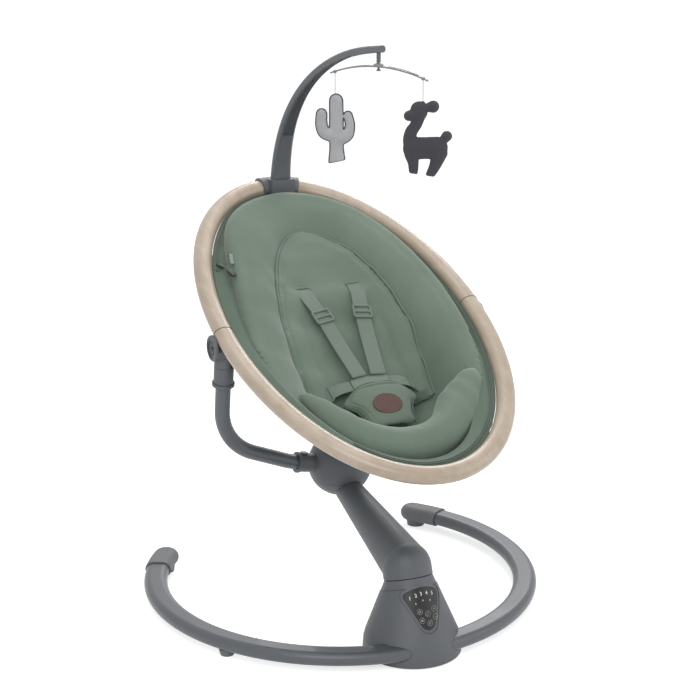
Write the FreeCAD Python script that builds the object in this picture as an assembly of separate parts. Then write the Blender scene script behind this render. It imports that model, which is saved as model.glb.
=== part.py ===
"""Baby swing: a seat in an oval ring on a yoke that sways on an oval floor hoop.

Millimetres, +Z up, +X to the sitter's left hand side of the front view, the foot end and the
control panel towards -Y.  The origin is on the floor under the middle of the seat ring.
Every function builds one sub-part, and main() writes each one to parts/NODE.step.
"""
import FreeCAD, Part
import math
import os

V = FreeCAD.Vector
ORIGIN = V(0, 0, 0)
X_AXIS = V(1, 0, 0)
Y_AXIS = V(0, 1, 0)
Z_AXIS = V(0, 0, 1)

# ---------------------------------------------------------------- fits and clearances
RUNNING_FIT = 0.06          # radial clearance of a pin or shaft that turns
SLIDE_FIT = 0.25            # clearance round a push button
SEAT_FIT = 0.15             # gap between two pieces of one body that are pushed together
SOFT_GAP = 0.4              # gap between a soft piece and what it lies on
SEAM_GAP = 1.2              # open seam between the housing and the swinging neck
SPLIT_GAP = 0.3             # parting line between two mouldings

# ---------------------------------------------------------------- floor hoop
HOOP_BACK = 40.0            # how far the hoop's centre lies behind the seat's middle
HOOP_RADIUS = 304.0         # centreline of the tube
HOOP_WIDTH = 38.0           # flattened oval tube, lying flat
HOOP_HEIGHT = 22.0
HOOP_WALL = 1.8
HOOP_RISE = 22.0            # height of the tube's centre above the floor
HOOP_FIRST_ANGLE = 3.5      # where a tube starts inside the housing, from straight ahead
HOOP_LAST_ANGLE = 119.0     # where the tube goes into its end cap
CAP_WALL = 2.6              # rubber end cap over the tube
CAP_LENGTH = 54.0           # along the hoop, up to the round end
CAP_GRIP = 34.0             # length of tube inside the cap
CAP_FOOT_RADIUS = 17.0
MID_FOOT_ANGLE = 60.0
MID_FOOT_TOP_RADIUS = 13.5
MID_FOOT_RADIUS = 10.5

# ---------------------------------------------------------------- housing
HOUSING_Y = -216.0          # centre of the housing's round base
HOUSING_RADIUS = 76.0       # at the floor
HOUSING_SHOULDER_RADIUS = 74.0
HOUSING_SHOULDER_Z = 26.0
HOUSING_WALL = 2.6
HOUSING_FLOOR_GAP = 2.0     # the housing stands on pads this high
SEAM_Y = -202.0             # centre of the seam under the swinging neck
SEAM_Z = 113.0
SEAM_RADIUS = 38.4
SWING_LEAN = 20.0           # the swing axis leans back towards the seat by this angle
COLLAR_DEPTH = 14.0         # height of the upper collar below the seam
COLLAR_INSET = 1.0          # the collar lies this far inside the lower shell's surface
PANEL_HALF_WIDTH = 28.5
PANEL_SHOULDER_Z = 99.0     # height of the panel's two upper corners
PANEL_TOP_Z = 112.5
PANEL_TIP_RADIUS = 13.5     # round lower end
PANEL_TIP_Z = 55.0
PANEL_BEZEL = 4.2           # width of the tongue round the panel
PANEL_THICKNESS = 2.0
PAD_RING_RADIUS = 58.0      # rubber pads under the housing
PAD_RADIUS = 9.0
BASE_PLATE = 2.5
SPINDLE_RADIUS = 9.0
SPINDLE_LENGTH = 66.0       # below the seam
BEARING_RADIUS = 16.0
BEARING_WIDTH = 9.0
BEARING_DROP = 16.0         # from the seam down to the upper bearing
BEARING_SPREAD = 36.0       # between the two bearings
DRIVE_GAP = 0.7             # between the magnet ring and the coil ring
DRIVE_RADIUS = 12.4         # of the magnet ring on the spindle
BEARING_WALL = 4.0          # of the carrier tube round the bearings
INLET_BORE_RADIUS = 2.8     # low-voltage inlet for a 5.5 mm barrel plug
INLET_DEPTH = 10.0
INLET_RADIUS = 5.0
INLET_Z = 36.0
DECK_RADIUS = 60.0          # deck of the carrier inside the housing
DECK_THICKNESS = 5.0

# ---------------------------------------------------------------- neck and hub
HUB_Y = 41.0
HUB_Z = 217.0
HUB_RADIUS = 52.0
HUB_SEAM_DROP = 22.0        # the hub's parting line lies this far below its centre
HUB_WALL = 3.0
HUB_FLAT = 36.0             # the hub's top is cut off at this height above its centre
NECK_RISE = 14.6            # slope of the straight part of the neck
NECK_KNEE = 16.0            # from the seam's centre to the neck's bend, along the swing axis
NECK_KNEE_RADIUS = 37.4
NECK_TOP_RADIUS = 20.0
NECK_LENGTH = 235.0         # from the bend to its end inside the hub
NECK_WALL = 3.2
NECK_INSET = 0.4            # the neck's foot is this much smaller than the seam under it

# ---------------------------------------------------------------- yoke (plane of the side arms)
PIVOT_V = -4.6              # the pivots sit this far towards the foot from the ring's middle
PIVOT_W = -20.0             # and this far below the ring's own plane
ARM_RADIUS = 12.0           # side arm tube
ARM_WALL = 1.6
ARM_ELBOW = (84.2, 15.6)    # first gentle bend, from the hub's centre: out, up
ARM_ELBOW_RADIUS = 155.0
ARM_BEND = (210.3, 68.7)    # main bend
ARM_BEND_RADIUS = 91.0
ARM_TOP_OUT = 211.0         # how far out the tube stands at the pivot's height
SOCKET_RADIUS = 15.5
SOCKET_START = 44.0
SOCKET_END = 80.0
SOCKET_LIP = 17.0
BUTTON_OUT = 70.0           # lock button's distance out from the hub's centre
BUTTON_LENGTH = 13.0
BUTTON_WIDTH = 8.0
BUTTON_FOOT = 9.5           # its inner end, from the arm's centreline, inside the tube
BUTTON_TOP = 18.1
SLEEVE_FOOT = 64.5          # the sleeve's lower end, below the pivot, in the yoke's plane
SLEEVE_HEAD = 32.0          # its upper end, below the pivot
SLEEVE_LIP = 5.0
BARREL_RADIUS = 20.5        # round pivot housing
BARREL_INNER = 206.0        # its face next to the lug under the seat ring
BARREL_OUTER = 233.5
RING_CLEARANCE = 0.6        # between the barrel and the seat ring as it reclines
RECLINE_RANGE = 18.0        # the seat lies back by this angle
CAP_BUTTON_RADIUS = 15.5
CAP_BUTTON_DEPTH = 2.6
CAP_BUTTON_SUNK = 0.6       # its face lies this far inside the barrel's rim
CAP_BUTTON_TRAVEL = 1.5
PIVOT_PIN_RADIUS = 4.5
LUG_INNER = 198.5           # lug under the seat ring that carries the pivot pin
LUG_RADIUS = 13.0
LUG_SHOULDER = 30.0         # its width where it meets the ring

# ---------------------------------------------------------------- seat ring and seat
SEAT_Z = 470.7              # height of the ring's centre
SEAT_TILT = 25.45           # the head end is higher
RING_HALF_WIDTH = 213.2     # centreline
RING_HALF_LENGTH = 351.7
RING_BREADTH = 30.0         # section, in the ring's plane
RING_DEPTH = 25.0
RING_WALL = 3.0
RING_SPLIT_V = 4.0          # parting line between head half and foot half
RING_PLUG_LENGTH = 46.0     # of the plug inside the ring at the parting line
SHELL_DEPTH = 120.0         # of the fabric bowl under the ring
SHELL_GAP = 0.6             # between the bowl and the ring
SHELL_THICKNESS = 3.0
LINER_WIDTH = 21.0          # width of the zipped band between ring and pad
LINER_THICKNESS = 2.0
LINER_GAP = 0.8             # between the band and the ring
PAD_GAP = 1.5               # between the band and the pad
PAD_RIM_HEIGHT = 5.0        # the pad's edge stands this high over the ring's plane at its sides
PAD_HEAD_HEIGHT = 24.0      # and this high at the head end
PAD_LIP = 6.0               # the hollow starts this far in from the pad's edge
HOLLOW_CROWN = 35.0         # height over the ring's plane where the hollow's sides stand upright
HOLLOW_POWER = 2.6          # roundness of the hollow across the seat: 2 is an ellipse
INSERT_HALF_WIDTH = 104.0   # of the inner cushion at its waist
INSERT_WAIST_V = 20.0
INSERT_HEAD_V = 206.0
INSERT_FOOT_V = -128.0
INSERT_TAPER = 0.066        # it narrows by this share of the length towards the foot
INSERT_THICKNESS = 8.5
SHIELD_TOP_V = -105.0       # upper and lower edge of the crotch pad
SHIELD_FOOT_V = -196.0
SHIELD_HALF_HEIGHT = 5.5
SHIELD_SLOPE = 0.2          # it lies on the buckle's foot edge and falls towards the foot
BADGE_V = -156.0
BADGE_HALF_WIDTH = 22.5
BADGE_HALF_LENGTH = 17.0
BADGE_THICKNESS = 1.2
BUCKLE_WIDTH = 68.0
BUCKLE_LENGTH = 40.0
BUCKLE_HEIGHT = 8.0
BUCKLE_V = -108.0
BUCKLE_W = -49.0            # of its underside
BOLSTER_IN = 46.0           # the bolster's middle lies this far in from the pad's foot end
BOLSTER_SIDE_IN = 19.0      # and this far in at the pad's sides
BOLSTER_HALF_WIDTH = 33.0   # in the middle
BOLSTER_HALF_HEIGHT = 24.0
BOLSTER_SINK = 24.0         # its middle lies this far under the ring's plane, its tips on it
BOLSTER_THINNING = 0.62     # share of its thickness that it loses towards the tips
BOLSTER_SWEEP = 62.0        # degrees of the oval that it follows, each way from the foot end
STRAP_WIDTH = 25.0
STRAP_THICKNESS = 2.2

TOGGLE_RISE = 8.8           # of the zip's toggle over the rim of the pad that it lies on

# ---------------------------------------------------------------- toy arm and mobile
CLAMP_LENGTH = 66.0         # along the ring
CLAMP_WALL = 4.0
TOY_ARM_X = 15.0            # the arm stands this far beside the seat's middle line
TOY_ARM_Y = -63.0           # where the hanger pin stands
TOY_ARM_TOP = 898.0         # of the arm's centreline at its tip
TOY_ARM_TIP = 11.0          # the tip reaches this far past the pin
TOY_ARM_FOOT_IN = 11.6      # its foot stands this far in from the ring's head end
TOY_ARM_FOOT_DROP = 11.8    # and this far below it
PLINTH_RISE = 16.0          # the plinth's top over the ring's head end
PLINTH_HEIGHT = 26.0
TOY_ARM_ROUND = 2.2         # exponent of the arm's rounded quarter curve
TOY_ARM_SWEEP = 78.0        # degrees of that quarter that the arm takes up
TOY_ARM_FOOT_WIDTH = 36.0
TOY_ARM_TIP_WIDTH = 11.5
TOY_ARM_FOOT_DEPTH = 18.0
TOY_ARM_TIP_DEPTH = 10.5
CHANNEL_SHARE = 0.66        # width of the open channel under the arm
HANGER_RADIUS = 3.2
HANGER_LENGTH = 14.0
MOBILE_TURN = 56.0          # how far the bar is turned from the swing's X axis
TOY_TURN = 26.0             # and how far the toys under it are
MOBILE_HALF = 82.7          # half length of the bar
MOBILE_DROP = 15.5          # how far the bar's ends hang below its middle
MOBILE_Z = TOY_ARM_TOP - 26.6
BAR_HALF_THICKNESS = 1.2
BAR_HALF_WIDTH = 4.0        # along its middle
BAR_END_HALF_WIDTH = 1.2
BAR_SLOT_START = 16.0       # from the bar's middle
BAR_SLOT_SHARE = 0.62       # length of each slot, as a share of the bar's half
BAR_SLOT_WIDTH = 4.2
BAR_DOME_RADIUS = 11.0
EYE_RADIUS = 2.4            # of the eyes that the strings hang from
EYE_WIDTH = 3.4
STRING_RADIUS = 0.6
STRING_IN = 8.0             # the strings hang this far in from the bar's ends
STRING_LENGTH = 31.0
TOY_THICKNESS = 12.0

SWING_AXIS = V(0, math.sin(math.radians(SWING_LEAN)), math.cos(math.radians(SWING_LEAN)))
SEAM_CENTRE = V(0, SEAM_Y, SEAM_Z)
HUB_CENTRE = V(0, HUB_Y, HUB_Z)


# ================================================================ general helpers
def seat_to_world(shape):
    """Place a shape that is drawn in the ring's own plane (X, length V, height W)."""
    placed = shape.copy()
    placed.rotate(ORIGIN, X_AXIS, SEAT_TILT)
    placed.translate(V(0, 0, SEAT_Z))
    return placed


def seat_point(x, v, w):
    """World position of a point given in the ring's plane."""
    tilt = math.radians(SEAT_TILT)
    y = v * math.cos(tilt) - w * math.sin(tilt)
    return V(x, y, SEAT_Z + v * math.sin(tilt) + w * math.cos(tilt))


PIVOT = seat_point(0, PIVOT_V, PIVOT_W)
YOKE_TILT = math.degrees(math.atan2(HUB_Y - PIVOT.y, PIVOT.z - HUB_Z))
YOKE_HEIGHT = math.hypot(HUB_Y - PIVOT.y, PIVOT.z - HUB_Z)


def yoke_to_world(shape):
    """Place a shape that is drawn in the yoke's plane (X out, Z up, hub centre at 0)."""
    placed = shape.copy()
    placed.rotate(ORIGIN, X_AXIS, YOKE_TILT)
    placed.translate(HUB_CENTRE)
    return placed


def mirrored(shape):
    """The left hand copy of a right hand piece."""
    return shape.mirror(ORIGIN, X_AXIS)


def both_sides(parts, name, right):
    """Store a right hand piece and its mirror image under two names."""
    parts[name + "_right"] = right
    parts[name + "_left"] = mirrored(right)


def circle_wire(centre, normal, radius):
    """A circle; where its plane holds the X direction, it starts there."""
    circle = Part.Circle(centre, normal, radius)
    if abs(normal.x) < 1e-6:
        circle.XAxis = X_AXIS
    return Part.Wire(circle.toShape())


def ellipse_wire(centre, normal, long_axis, long_radius, short_radius):
    """An ellipse round centre; long_axis gives the direction of its longer half."""
    short_axis = normal.cross(long_axis)
    ellipse = Part.Ellipse(
        centre + long_axis * long_radius, centre + short_axis * short_radius, centre
    )
    return Part.Wire(ellipse.toShape())


def polygon(points):
    return Part.makePolygon(list(points) + [points[0]])


def rounded_slab(width, depth, height, radius):
    """A block centred on the Z axis with its four upright edges rounded."""
    block = Part.makeBox(width, depth, height, V(-width / 2, -depth / 2, 0))
    upright = [e for e in block.Edges if abs(e.BoundBox.ZLength - height) < 1e-6]
    return block.makeFillet(radius, upright)


def oval_wire(width, height):
    """A flattened oval in the XZ plane, with round ends, centred on the origin."""
    r = height / 2
    flat = width / 2 - r
    low_l = V(-flat, 0, -r)
    low_r = V(flat, 0, -r)
    up_l = V(-flat, 0, r)
    up_r = V(flat, 0, r)
    return Part.Wire([
        Part.LineSegment(low_l, low_r).toShape(),
        Part.Arc(low_r, V(flat + r, 0, 0), up_r).toShape(),
        Part.LineSegment(up_r, up_l).toShape(),
        Part.Arc(up_l, V(-flat - r, 0, 0), low_l).toShape(),
    ])


def filleted_path(points, radii):
    """A wire through points whose inner corners are arcs of the given radii."""
    edges = []
    start = points[0]
    for before, corner, after, radius in zip(points, points[1:], points[2:], radii):
        back = (before - corner).normalize()
        ahead = (after - corner).normalize()
        half = back.getAngle(ahead) / 2
        reach = radius / math.tan(half)
        middle = (back + ahead).normalize()
        centre = corner + middle * (radius / math.sin(half))
        first = corner + back * reach
        last = corner + ahead * reach
        edges.append(Part.LineSegment(start, first).toShape())
        edges.append(Part.Arc(first, centre - middle * radius, last).toShape())
        start = last
    edges.append(Part.LineSegment(start, points[-1]).toShape())
    return Part.Wire(edges)


def tube_along(path, outer, inner=0.0):
    """A round bar or tube swept along a wire."""
    start = path.Edges[0].valueAt(path.Edges[0].FirstParameter)
    heading = path.Edges[0].tangentAt(path.Edges[0].FirstParameter)
    bar = path.makePipeShell([circle_wire(start, heading, outer)], True, True)
    if inner:
        bar = bar.cut(path.makePipeShell([circle_wire(start, heading, inner)], True, True))
    return bar


def solid_loft(wires, ruled=False):
    return Part.makeLoft(wires, True, ruled)


# ================================================================ floor hoop
def hoop_sweep(width, height, first, last):
    """Part of the hoop: an oval swept round from one angle to another, from straight ahead."""
    face = Part.Face(oval_wire(width, height))
    face.translate(V(HOOP_RADIUS, 0, 0))
    swept = face.revolve(ORIGIN, Z_AXIS, last - first)
    swept.rotate(ORIGIN, Z_AXIS, first - 90)
    swept.translate(V(0, HOOP_BACK, HOOP_RISE))
    return swept


def hoop_point(angle, z=HOOP_RISE):
    """A point of the hoop's centreline, angle counted from straight ahead."""
    turn = math.radians(angle - 90)
    return V(HOOP_RADIUS * math.cos(turn), HOOP_BACK + HOOP_RADIUS * math.sin(turn), z)


def arc_angle(length):
    """The angle that a length along the hoop takes up."""
    return math.degrees(length / HOOP_RADIUS)


def make_hoop_tube():
    last = HOOP_LAST_ANGLE + arc_angle(CAP_GRIP)
    outer = hoop_sweep(HOOP_WIDTH, HOOP_HEIGHT, HOOP_FIRST_ANGLE, last)
    bore = hoop_sweep(
        HOOP_WIDTH - 2 * HOOP_WALL, HOOP_HEIGHT - 2 * HOOP_WALL, HOOP_FIRST_ANGLE - 1, last + 1
    )
    return outer.cut(bore)


def make_end_cap():
    """Rubber cap: a sleeve over the tube with a round end and a foot under it."""
    width = HOOP_WIDTH + 2 * CAP_WALL
    height = HOOP_HEIGHT + 2 * CAP_WALL
    last = HOOP_LAST_ANGLE + arc_angle(CAP_LENGTH)
    sleeve = hoop_sweep(width, height, HOOP_LAST_ANGLE, last)
    r = height / 2
    flat = width / 2 - r
    half_oval = Part.Wire([
        Part.LineSegment(V(0, 0, -r), V(flat, 0, -r)).toShape(),
        Part.Arc(V(flat, 0, -r), V(flat + r, 0, 0), V(flat, 0, r)).toShape(),
        Part.LineSegment(V(flat, 0, r), V(0, 0, r)).toShape(),
        Part.LineSegment(V(0, 0, r), V(0, 0, -r)).toShape(),
    ])
    bulb = Part.Face(half_oval).revolve(ORIGIN, Z_AXIS, 360)
    bulb.translate(hoop_point(last))
    foot = Part.makeCone(CAP_FOOT_RADIUS - 2.0, CAP_FOOT_RADIUS, HOOP_RISE - r + 4, V(0, 0, 0))
    foot.translate(hoop_point(last - arc_angle(6), 0))
    cap = sleeve.fuse([bulb, foot]).removeSplitter()
    grip = HOOP_LAST_ANGLE + arc_angle(CAP_GRIP) + arc_angle(SEAT_FIT)
    bore = hoop_sweep(
        HOOP_WIDTH + 2 * SEAT_FIT, HOOP_HEIGHT + 2 * SEAT_FIT, HOOP_LAST_ANGLE - 1, grip
    )
    return cap.cut(bore)


def make_mid_foot():
    """Small tapered rubber foot under the tube."""
    top = HOOP_RISE - HOOP_HEIGHT / 2
    foot = Part.makeCone(MID_FOOT_RADIUS, MID_FOOT_TOP_RADIUS, top)
    foot.translate(hoop_point(MID_FOOT_ANGLE, 0))
    return foot


# ================================================================ housing
def seam_circle(radius, along=0.0):
    """A circle in the plane of the seam, moved along the swing axis."""
    return circle_wire(SEAM_CENTRE + SWING_AXIS * along, SWING_AXIS, radius)


def housing_body(inset, bottom):
    """The housing's outer form, a leaning bell, drawn smaller by inset."""
    base = V(0, HOUSING_Y, 0)
    wires = [
        circle_wire(base + V(0, 0, bottom), Z_AXIS, HOUSING_RADIUS - inset),
        circle_wire(base + V(0, 0, HOUSING_SHOULDER_Z - 4), Z_AXIS,
                    HOUSING_SHOULDER_RADIUS + 0.6 - inset),
        circle_wire(base + V(0, 0.4, HOUSING_SHOULDER_Z + 6), Z_AXIS,
                    HOUSING_SHOULDER_RADIUS - 2.4 - inset),
        seam_circle(SEAM_RADIUS - inset, -SEAM_GAP / 2),
    ]
    return solid_loft(wires, True)


def tongue_prism(grow):
    """The panel's rounded outline, grown by a width, as a prism through the front wall."""
    tip = PANEL_TIP_RADIUS + grow
    low = V(0, 0, PANEL_TIP_Z + PANEL_TIP_RADIUS)
    corner = 7.0 + grow
    shoulder = V(PANEL_HALF_WIDTH - 7.0, 0, PANEL_SHOULDER_Z)
    across = shoulder - low
    lean = math.acos((tip - corner) / across.Length) - math.atan2(across.z, across.x)
    side = V(math.cos(lean), 0, -math.sin(lean))
    crown = V(0, 0, PANEL_TOP_Z + grow)
    rim = shoulder + V(0.35, 0, 0.94).normalize() * corner
    points = [low + side * tip, shoulder + side * corner, rim]
    left = [V(-p.x, 0, p.z) for p in points]
    outer = V(0.87, 0, 0.5)
    edges = [
        Part.Arc(left[0], low - V(0, 0, tip), points[0]).toShape(),
        Part.LineSegment(points[0], points[1]).toShape(),
        Part.Arc(points[1], shoulder + outer * corner, rim).toShape(),
        Part.Arc(rim, crown, left[2]).toShape(),
        Part.Arc(left[2], V(-(shoulder + outer * corner).x, 0, (shoulder + outer * corner).z),
                 left[1]).toShape(),
        Part.LineSegment(left[1], left[0]).toShape(),
    ]
    face = Part.Face(Part.Wire(edges))
    face.translate(V(0, HOUSING_Y - 10, 0))
    return face.extrude(V(0, -90, 0))


def collar_zone(grow):
    """All that belongs to the upper collar: the top ring and the tongue round the panel."""
    size = 260.0
    top = Part.makeBox(size, size, size, V(-size / 2, -size / 2, -COLLAR_DEPTH - grow))
    top.rotate(ORIGIN, X_AXIS, -SWING_LEAN)
    top.translate(SEAM_CENTRE)
    tongue = tongue_prism(PANEL_BEZEL + grow)
    return top.fuse(tongue)


def hoop_openings(clearance):
    """The two tubes as they pass through the housing's wall, with some clearance."""
    right = hoop_sweep(
        HOOP_WIDTH + 2 * clearance, HOOP_HEIGHT + 2 * clearance, HOOP_FIRST_ANGLE - 6, 40
    )
    return right.fuse(mirrored(right))


def inlet_drill(radius, length):
    """A cylinder at the back of the housing, where the low-voltage plug goes in."""
    mouth = V(0, HOUSING_Y + HOUSING_RADIUS - 2, INLET_Z)
    return Part.makeCylinder(radius, length, mouth, V(0, -1, 0))


def make_power_inlet():
    """Low-voltage inlet at the back: a short round socket with a blind bore."""
    body = inlet_drill(INLET_RADIUS, INLET_DEPTH + 3)
    return body.cut(inlet_drill(INLET_BORE_RADIUS, INLET_DEPTH))


def make_housing_shell():
    outer = housing_body(0, HOUSING_FLOOR_GAP)
    inner = housing_body(HOUSING_WALL, HOUSING_FLOOR_GAP - 1)
    shell = outer.cut(inner)
    shell = shell.cut(collar_zone(SPLIT_GAP))
    shell = shell.cut(hoop_openings(0.3))
    shell = shell.cut(inlet_drill(INLET_RADIUS + SEAT_FIT, 30))
    return max(shell.Solids, key=lambda s: s.Volume)


def make_housing_collar():
    """Upper collar with the tongue that frames the panel; a lip backs the parting line."""
    outer = housing_body(COLLAR_INSET, HOUSING_FLOOR_GAP)
    inner = housing_body(HOUSING_WALL + COLLAR_INSET, HOUSING_FLOOR_GAP - 1)
    collar = outer.cut(inner).common(collar_zone(0))
    window = tongue_prism(0).common(outer.cut(housing_body(COLLAR_INSET + PANEL_THICKNESS, 0)))
    return max(collar.cut(window).Solids, key=lambda s: s.Volume)


def make_control_panel():
    """Glossy touch panel, flush in its recess and just proud of the collar."""
    outer = housing_body(COLLAR_INSET - 0.5, HOUSING_FLOOR_GAP)
    inner = housing_body(COLLAR_INSET + PANEL_THICKNESS - SEAT_FIT, HOUSING_FLOOR_GAP - 1)
    panel = outer.cut(inner).common(tongue_prism(-SEAT_FIT))
    return max(panel.Solids, key=lambda s: s.Volume)


def board_slab(width, length, behind, ahead):
    """A rounded slab parallel to the front wall, reaching behind and ahead of the board's plane."""
    board = rounded_slab(width, length, behind + ahead, 3)
    board.translate(V(0, 0, -behind))
    board.rotate(ORIGIN, X_AXIS, 62)
    board.translate(V(0, HOUSING_Y - 31, PANEL_TIP_Z + 24))
    return board


def make_circuit_board():
    """Board behind the panel."""
    return board_slab(34, 44, 0, 1.6)


def make_base_plate():
    """Bottom plate with four screw bosses and ribs."""
    plate = Part.makeCylinder(
        HOUSING_RADIUS - HOUSING_WALL - 0.6, BASE_PLATE, V(0, HOUSING_Y, HOUSING_FLOOR_GAP)
    )
    top = HOUSING_FLOOR_GAP + BASE_PLATE
    for k in range(4):
        spot = pad_spot(k) + V(0, 0, top)
        plate = plate.fuse(Part.makeCylinder(4.5, 3.5, spot))
    for k in range(4):
        plate = plate.cut(Part.makeCylinder(1.7, 12, pad_spot(k) + V(0, 0, 1)))
    return plate


def pad_spot(k):
    turn = math.radians(45 + 90 * k)
    return V(PAD_RING_RADIUS * math.cos(turn), HOUSING_Y + PAD_RING_RADIUS * math.sin(turn), 0)


def make_base_pads():
    """Four rubber pads on the floor, one group of separate solids."""
    pads = [Part.makeCylinder(PAD_RADIUS, HOUSING_FLOOR_GAP, pad_spot(k)) for k in range(4)]
    return Part.makeCompound(pads)


def spindle_frame(shape):
    """Place a shape drawn along +Z from 0 so that it runs along the swing axis."""
    placed = shape.copy()
    placed.rotate(ORIGIN, X_AXIS, -SWING_LEAN)
    placed.translate(SEAM_CENTRE)
    return placed


def make_swing_spindle():
    """Steel shaft with a flange that sits in the neck's foot."""
    shaft = Part.makeCylinder(SPINDLE_RADIUS, SPINDLE_LENGTH + 8, V(0, 0, -SPINDLE_LENGTH))
    flange_radius = SEAM_RADIUS - NECK_INSET - NECK_WALL - SEAT_FIT
    flange = Part.makeCylinder(flange_radius, 4, V(0, 0, 4))
    return spindle_frame(shaft.fuse(flange).removeSplitter())


def spindle_ring(inner, outer, low, high):
    """A ring round the swing axis between two heights, both counted down from the seam."""
    ring = Part.makeCylinder(outer, low - high, V(0, 0, -low))
    return ring.cut(Part.makeCylinder(inner, low - high, V(0, 0, -low)))


def make_bearings():
    """Two ball bearings, each drawn as one ring with a groove in its faces."""
    rings = []
    for k in range(2):
        high = BEARING_DROP + BEARING_SPREAD * k
        low = high + BEARING_WIDTH
        ring = spindle_ring(SPINDLE_RADIUS + RUNNING_FIT, BEARING_RADIUS, low, high)
        middle = (SPINDLE_RADIUS + BEARING_RADIUS) / 2
        groove = spindle_ring(middle - 1.2, middle + 1.2, high + 0.8, high)
        rings.append(spindle_frame(ring.cut(groove)))
    return Part.makeCompound(rings)


def drive_span():
    """Lower and upper height of the drive, between the bearings, counted down the axis."""
    return BEARING_DROP + BEARING_SPREAD - 2.0, BEARING_DROP + BEARING_WIDTH + 2.0


def make_drive_magnet():
    """Magnet ring pressed on the spindle."""
    low, high = drive_span()
    return spindle_frame(spindle_ring(SPINDLE_RADIUS, DRIVE_RADIUS, low, high))


def make_drive_coil():
    """Coil ring in the carrier tube, round the magnet ring."""
    low, high = drive_span()
    return spindle_frame(spindle_ring(DRIVE_RADIUS + DRIVE_GAP, BEARING_RADIUS, low, high))


def make_core_bracket():
    """Die-cast carrier: a tube round the bearings, on a deck that rests on both hoop tubes."""
    high = BEARING_DROP
    low = BEARING_DROP + BEARING_SPREAD + BEARING_WIDTH
    bore = BEARING_RADIUS + 0.02
    tube = spindle_frame(spindle_ring(bore, BEARING_RADIUS + BEARING_WALL, low, high))
    deck_z = HOOP_RISE + HOOP_HEIGHT / 2 + SEAT_FIT
    deck = Part.makeCylinder(DECK_RADIUS, DECK_THICKNESS, V(0, HOUSING_Y, deck_z))
    rib_long = Part.makeBox(5, 96, 44, V(-2.5, HOUSING_Y - 46, deck_z))
    rib_cross = Part.makeBox(84, 5, 44, V(-42, HOUSING_Y + 4, deck_z))
    inside = housing_body(HOUSING_WALL + 3.0, 0)
    foot_z = HOUSING_FLOOR_GAP + BASE_PLATE + SEAT_FIT
    legs = [
        Part.makeCylinder(6, deck_z - foot_z, V(x, HOUSING_Y + 18, foot_z)) for x in (-34, 34)
    ]
    body = deck.fuse([tube, rib_long.common(inside), rib_cross.common(inside)] + legs)
    shaft_room = Part.makeCylinder(bore, 200, SEAM_CENTRE - SWING_AXIS * 150, SWING_AXIS)
    body = body.cut([shaft_room, board_slab(40, 52, SEAT_FIT, 9)])
    return max(body.Solids, key=lambda s: s.Volume)


# ================================================================ neck and hub
NECK_HEADING = V(0, math.cos(math.radians(NECK_RISE)), math.sin(math.radians(NECK_RISE)))
KNEE = SEAM_CENTRE + SWING_AXIS * NECK_KNEE


def neck_body(inset, low):
    """The neck's form: a round stub on the seam, a ball at the bend, and a slim cone."""
    bend = SEAM_RADIUS - NECK_INSET - inset
    stub = Part.makeCylinder(bend, NECK_KNEE, SEAM_CENTRE, SWING_AXIS)
    ball = Part.makeSphere(bend, KNEE)
    cone = Part.makeCone(
        NECK_KNEE_RADIUS - inset, NECK_TOP_RADIUS - inset, NECK_LENGTH, KNEE, NECK_HEADING
    )
    below = Part.makeCylinder(
        3 * SEAM_RADIUS, 3 * SEAM_RADIUS, SEAM_CENTRE + SWING_AXIS * low, SWING_AXIS * -1
    )
    stub = stub.fuse([ball, cone])
    return stub.cut(below).removeSplitter()


def hub_ball(inset):
    return Part.makeSphere(HUB_RADIUS - inset, HUB_CENTRE)


def hub_level(drop):
    """Height of a level plane, counted down from the hub's centre."""
    return HUB_Z - drop


def hub_slice(ball, low, high):
    """The part of a ball between two levels."""
    size = 4 * HUB_RADIUS
    return ball.common(Part.makeBox(size, size, high - low, V(-size / 2, HUB_Y - size / 2, low)))


def make_neck_shell():
    """Neck and the hub's lower cup in one moulding, open at the foot and inside the cup."""
    seam = hub_level(HUB_SEAM_DROP)
    cover_room = hub_slice(hub_ball(-0.3), seam, HUB_Z + HUB_RADIUS)
    cup = hub_slice(hub_ball(0), HUB_Z - HUB_RADIUS, seam)
    body = neck_body(0, SEAM_GAP / 2).cut(cover_room).fuse(cup)
    cup_room = hub_slice(hub_ball(HUB_WALL), HUB_Z - HUB_RADIUS, seam + 1)
    body = body.cut(neck_body(NECK_WALL, 0)).cut(cup_room)
    return max(body.Solids, key=lambda s: s.Volume)


def make_hub_cover():
    """Upper part of the round hub, with the two sockets for the side arms."""
    seam = hub_level(HUB_SEAM_DROP) + SPLIT_GAP
    top = HUB_Z + HUB_FLAT
    outer = hub_slice(hub_ball(0), seam, top)
    stub = socket_form(SOCKET_RADIUS)
    outer = outer.fuse([stub, mirrored(stub)])
    outer = outer.cut(hub_slice(hub_ball(HUB_WALL), seam - 1, top - HUB_WALL))
    outer = outer.cut(neck_body(-0.3, 0))
    bore = arm_bar(ARM_RADIUS + SEAT_FIT)
    outer = outer.cut([bore, mirrored(bore)])
    pocket = button_form(SLIDE_FIT, 0)
    outer = outer.cut([pocket, mirrored(pocket)])
    return max(outer.Solids, key=lambda s: s.Volume)


def first_run_heading():
    """Direction of the arm's first straight run, in the yoke's plane."""
    return V(ARM_ELBOW[0], 0, ARM_ELBOW[1]).normalize()


def arm_run(radius, start, end):
    """A bar along the arm's first straight run, between two distances from the hub's centre."""
    heading = first_run_heading()
    bar = Part.makeCylinder(radius, end - start, heading * start, heading)
    return yoke_to_world(bar)


def socket_form(radius):
    """Socket sleeve with a raised lip round its mouth."""
    sleeve = arm_run(radius, SOCKET_START - 8, SOCKET_END)
    lip = arm_run(SOCKET_LIP, SOCKET_END - 4, SOCKET_END)
    return sleeve.fuse(lip)


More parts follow.
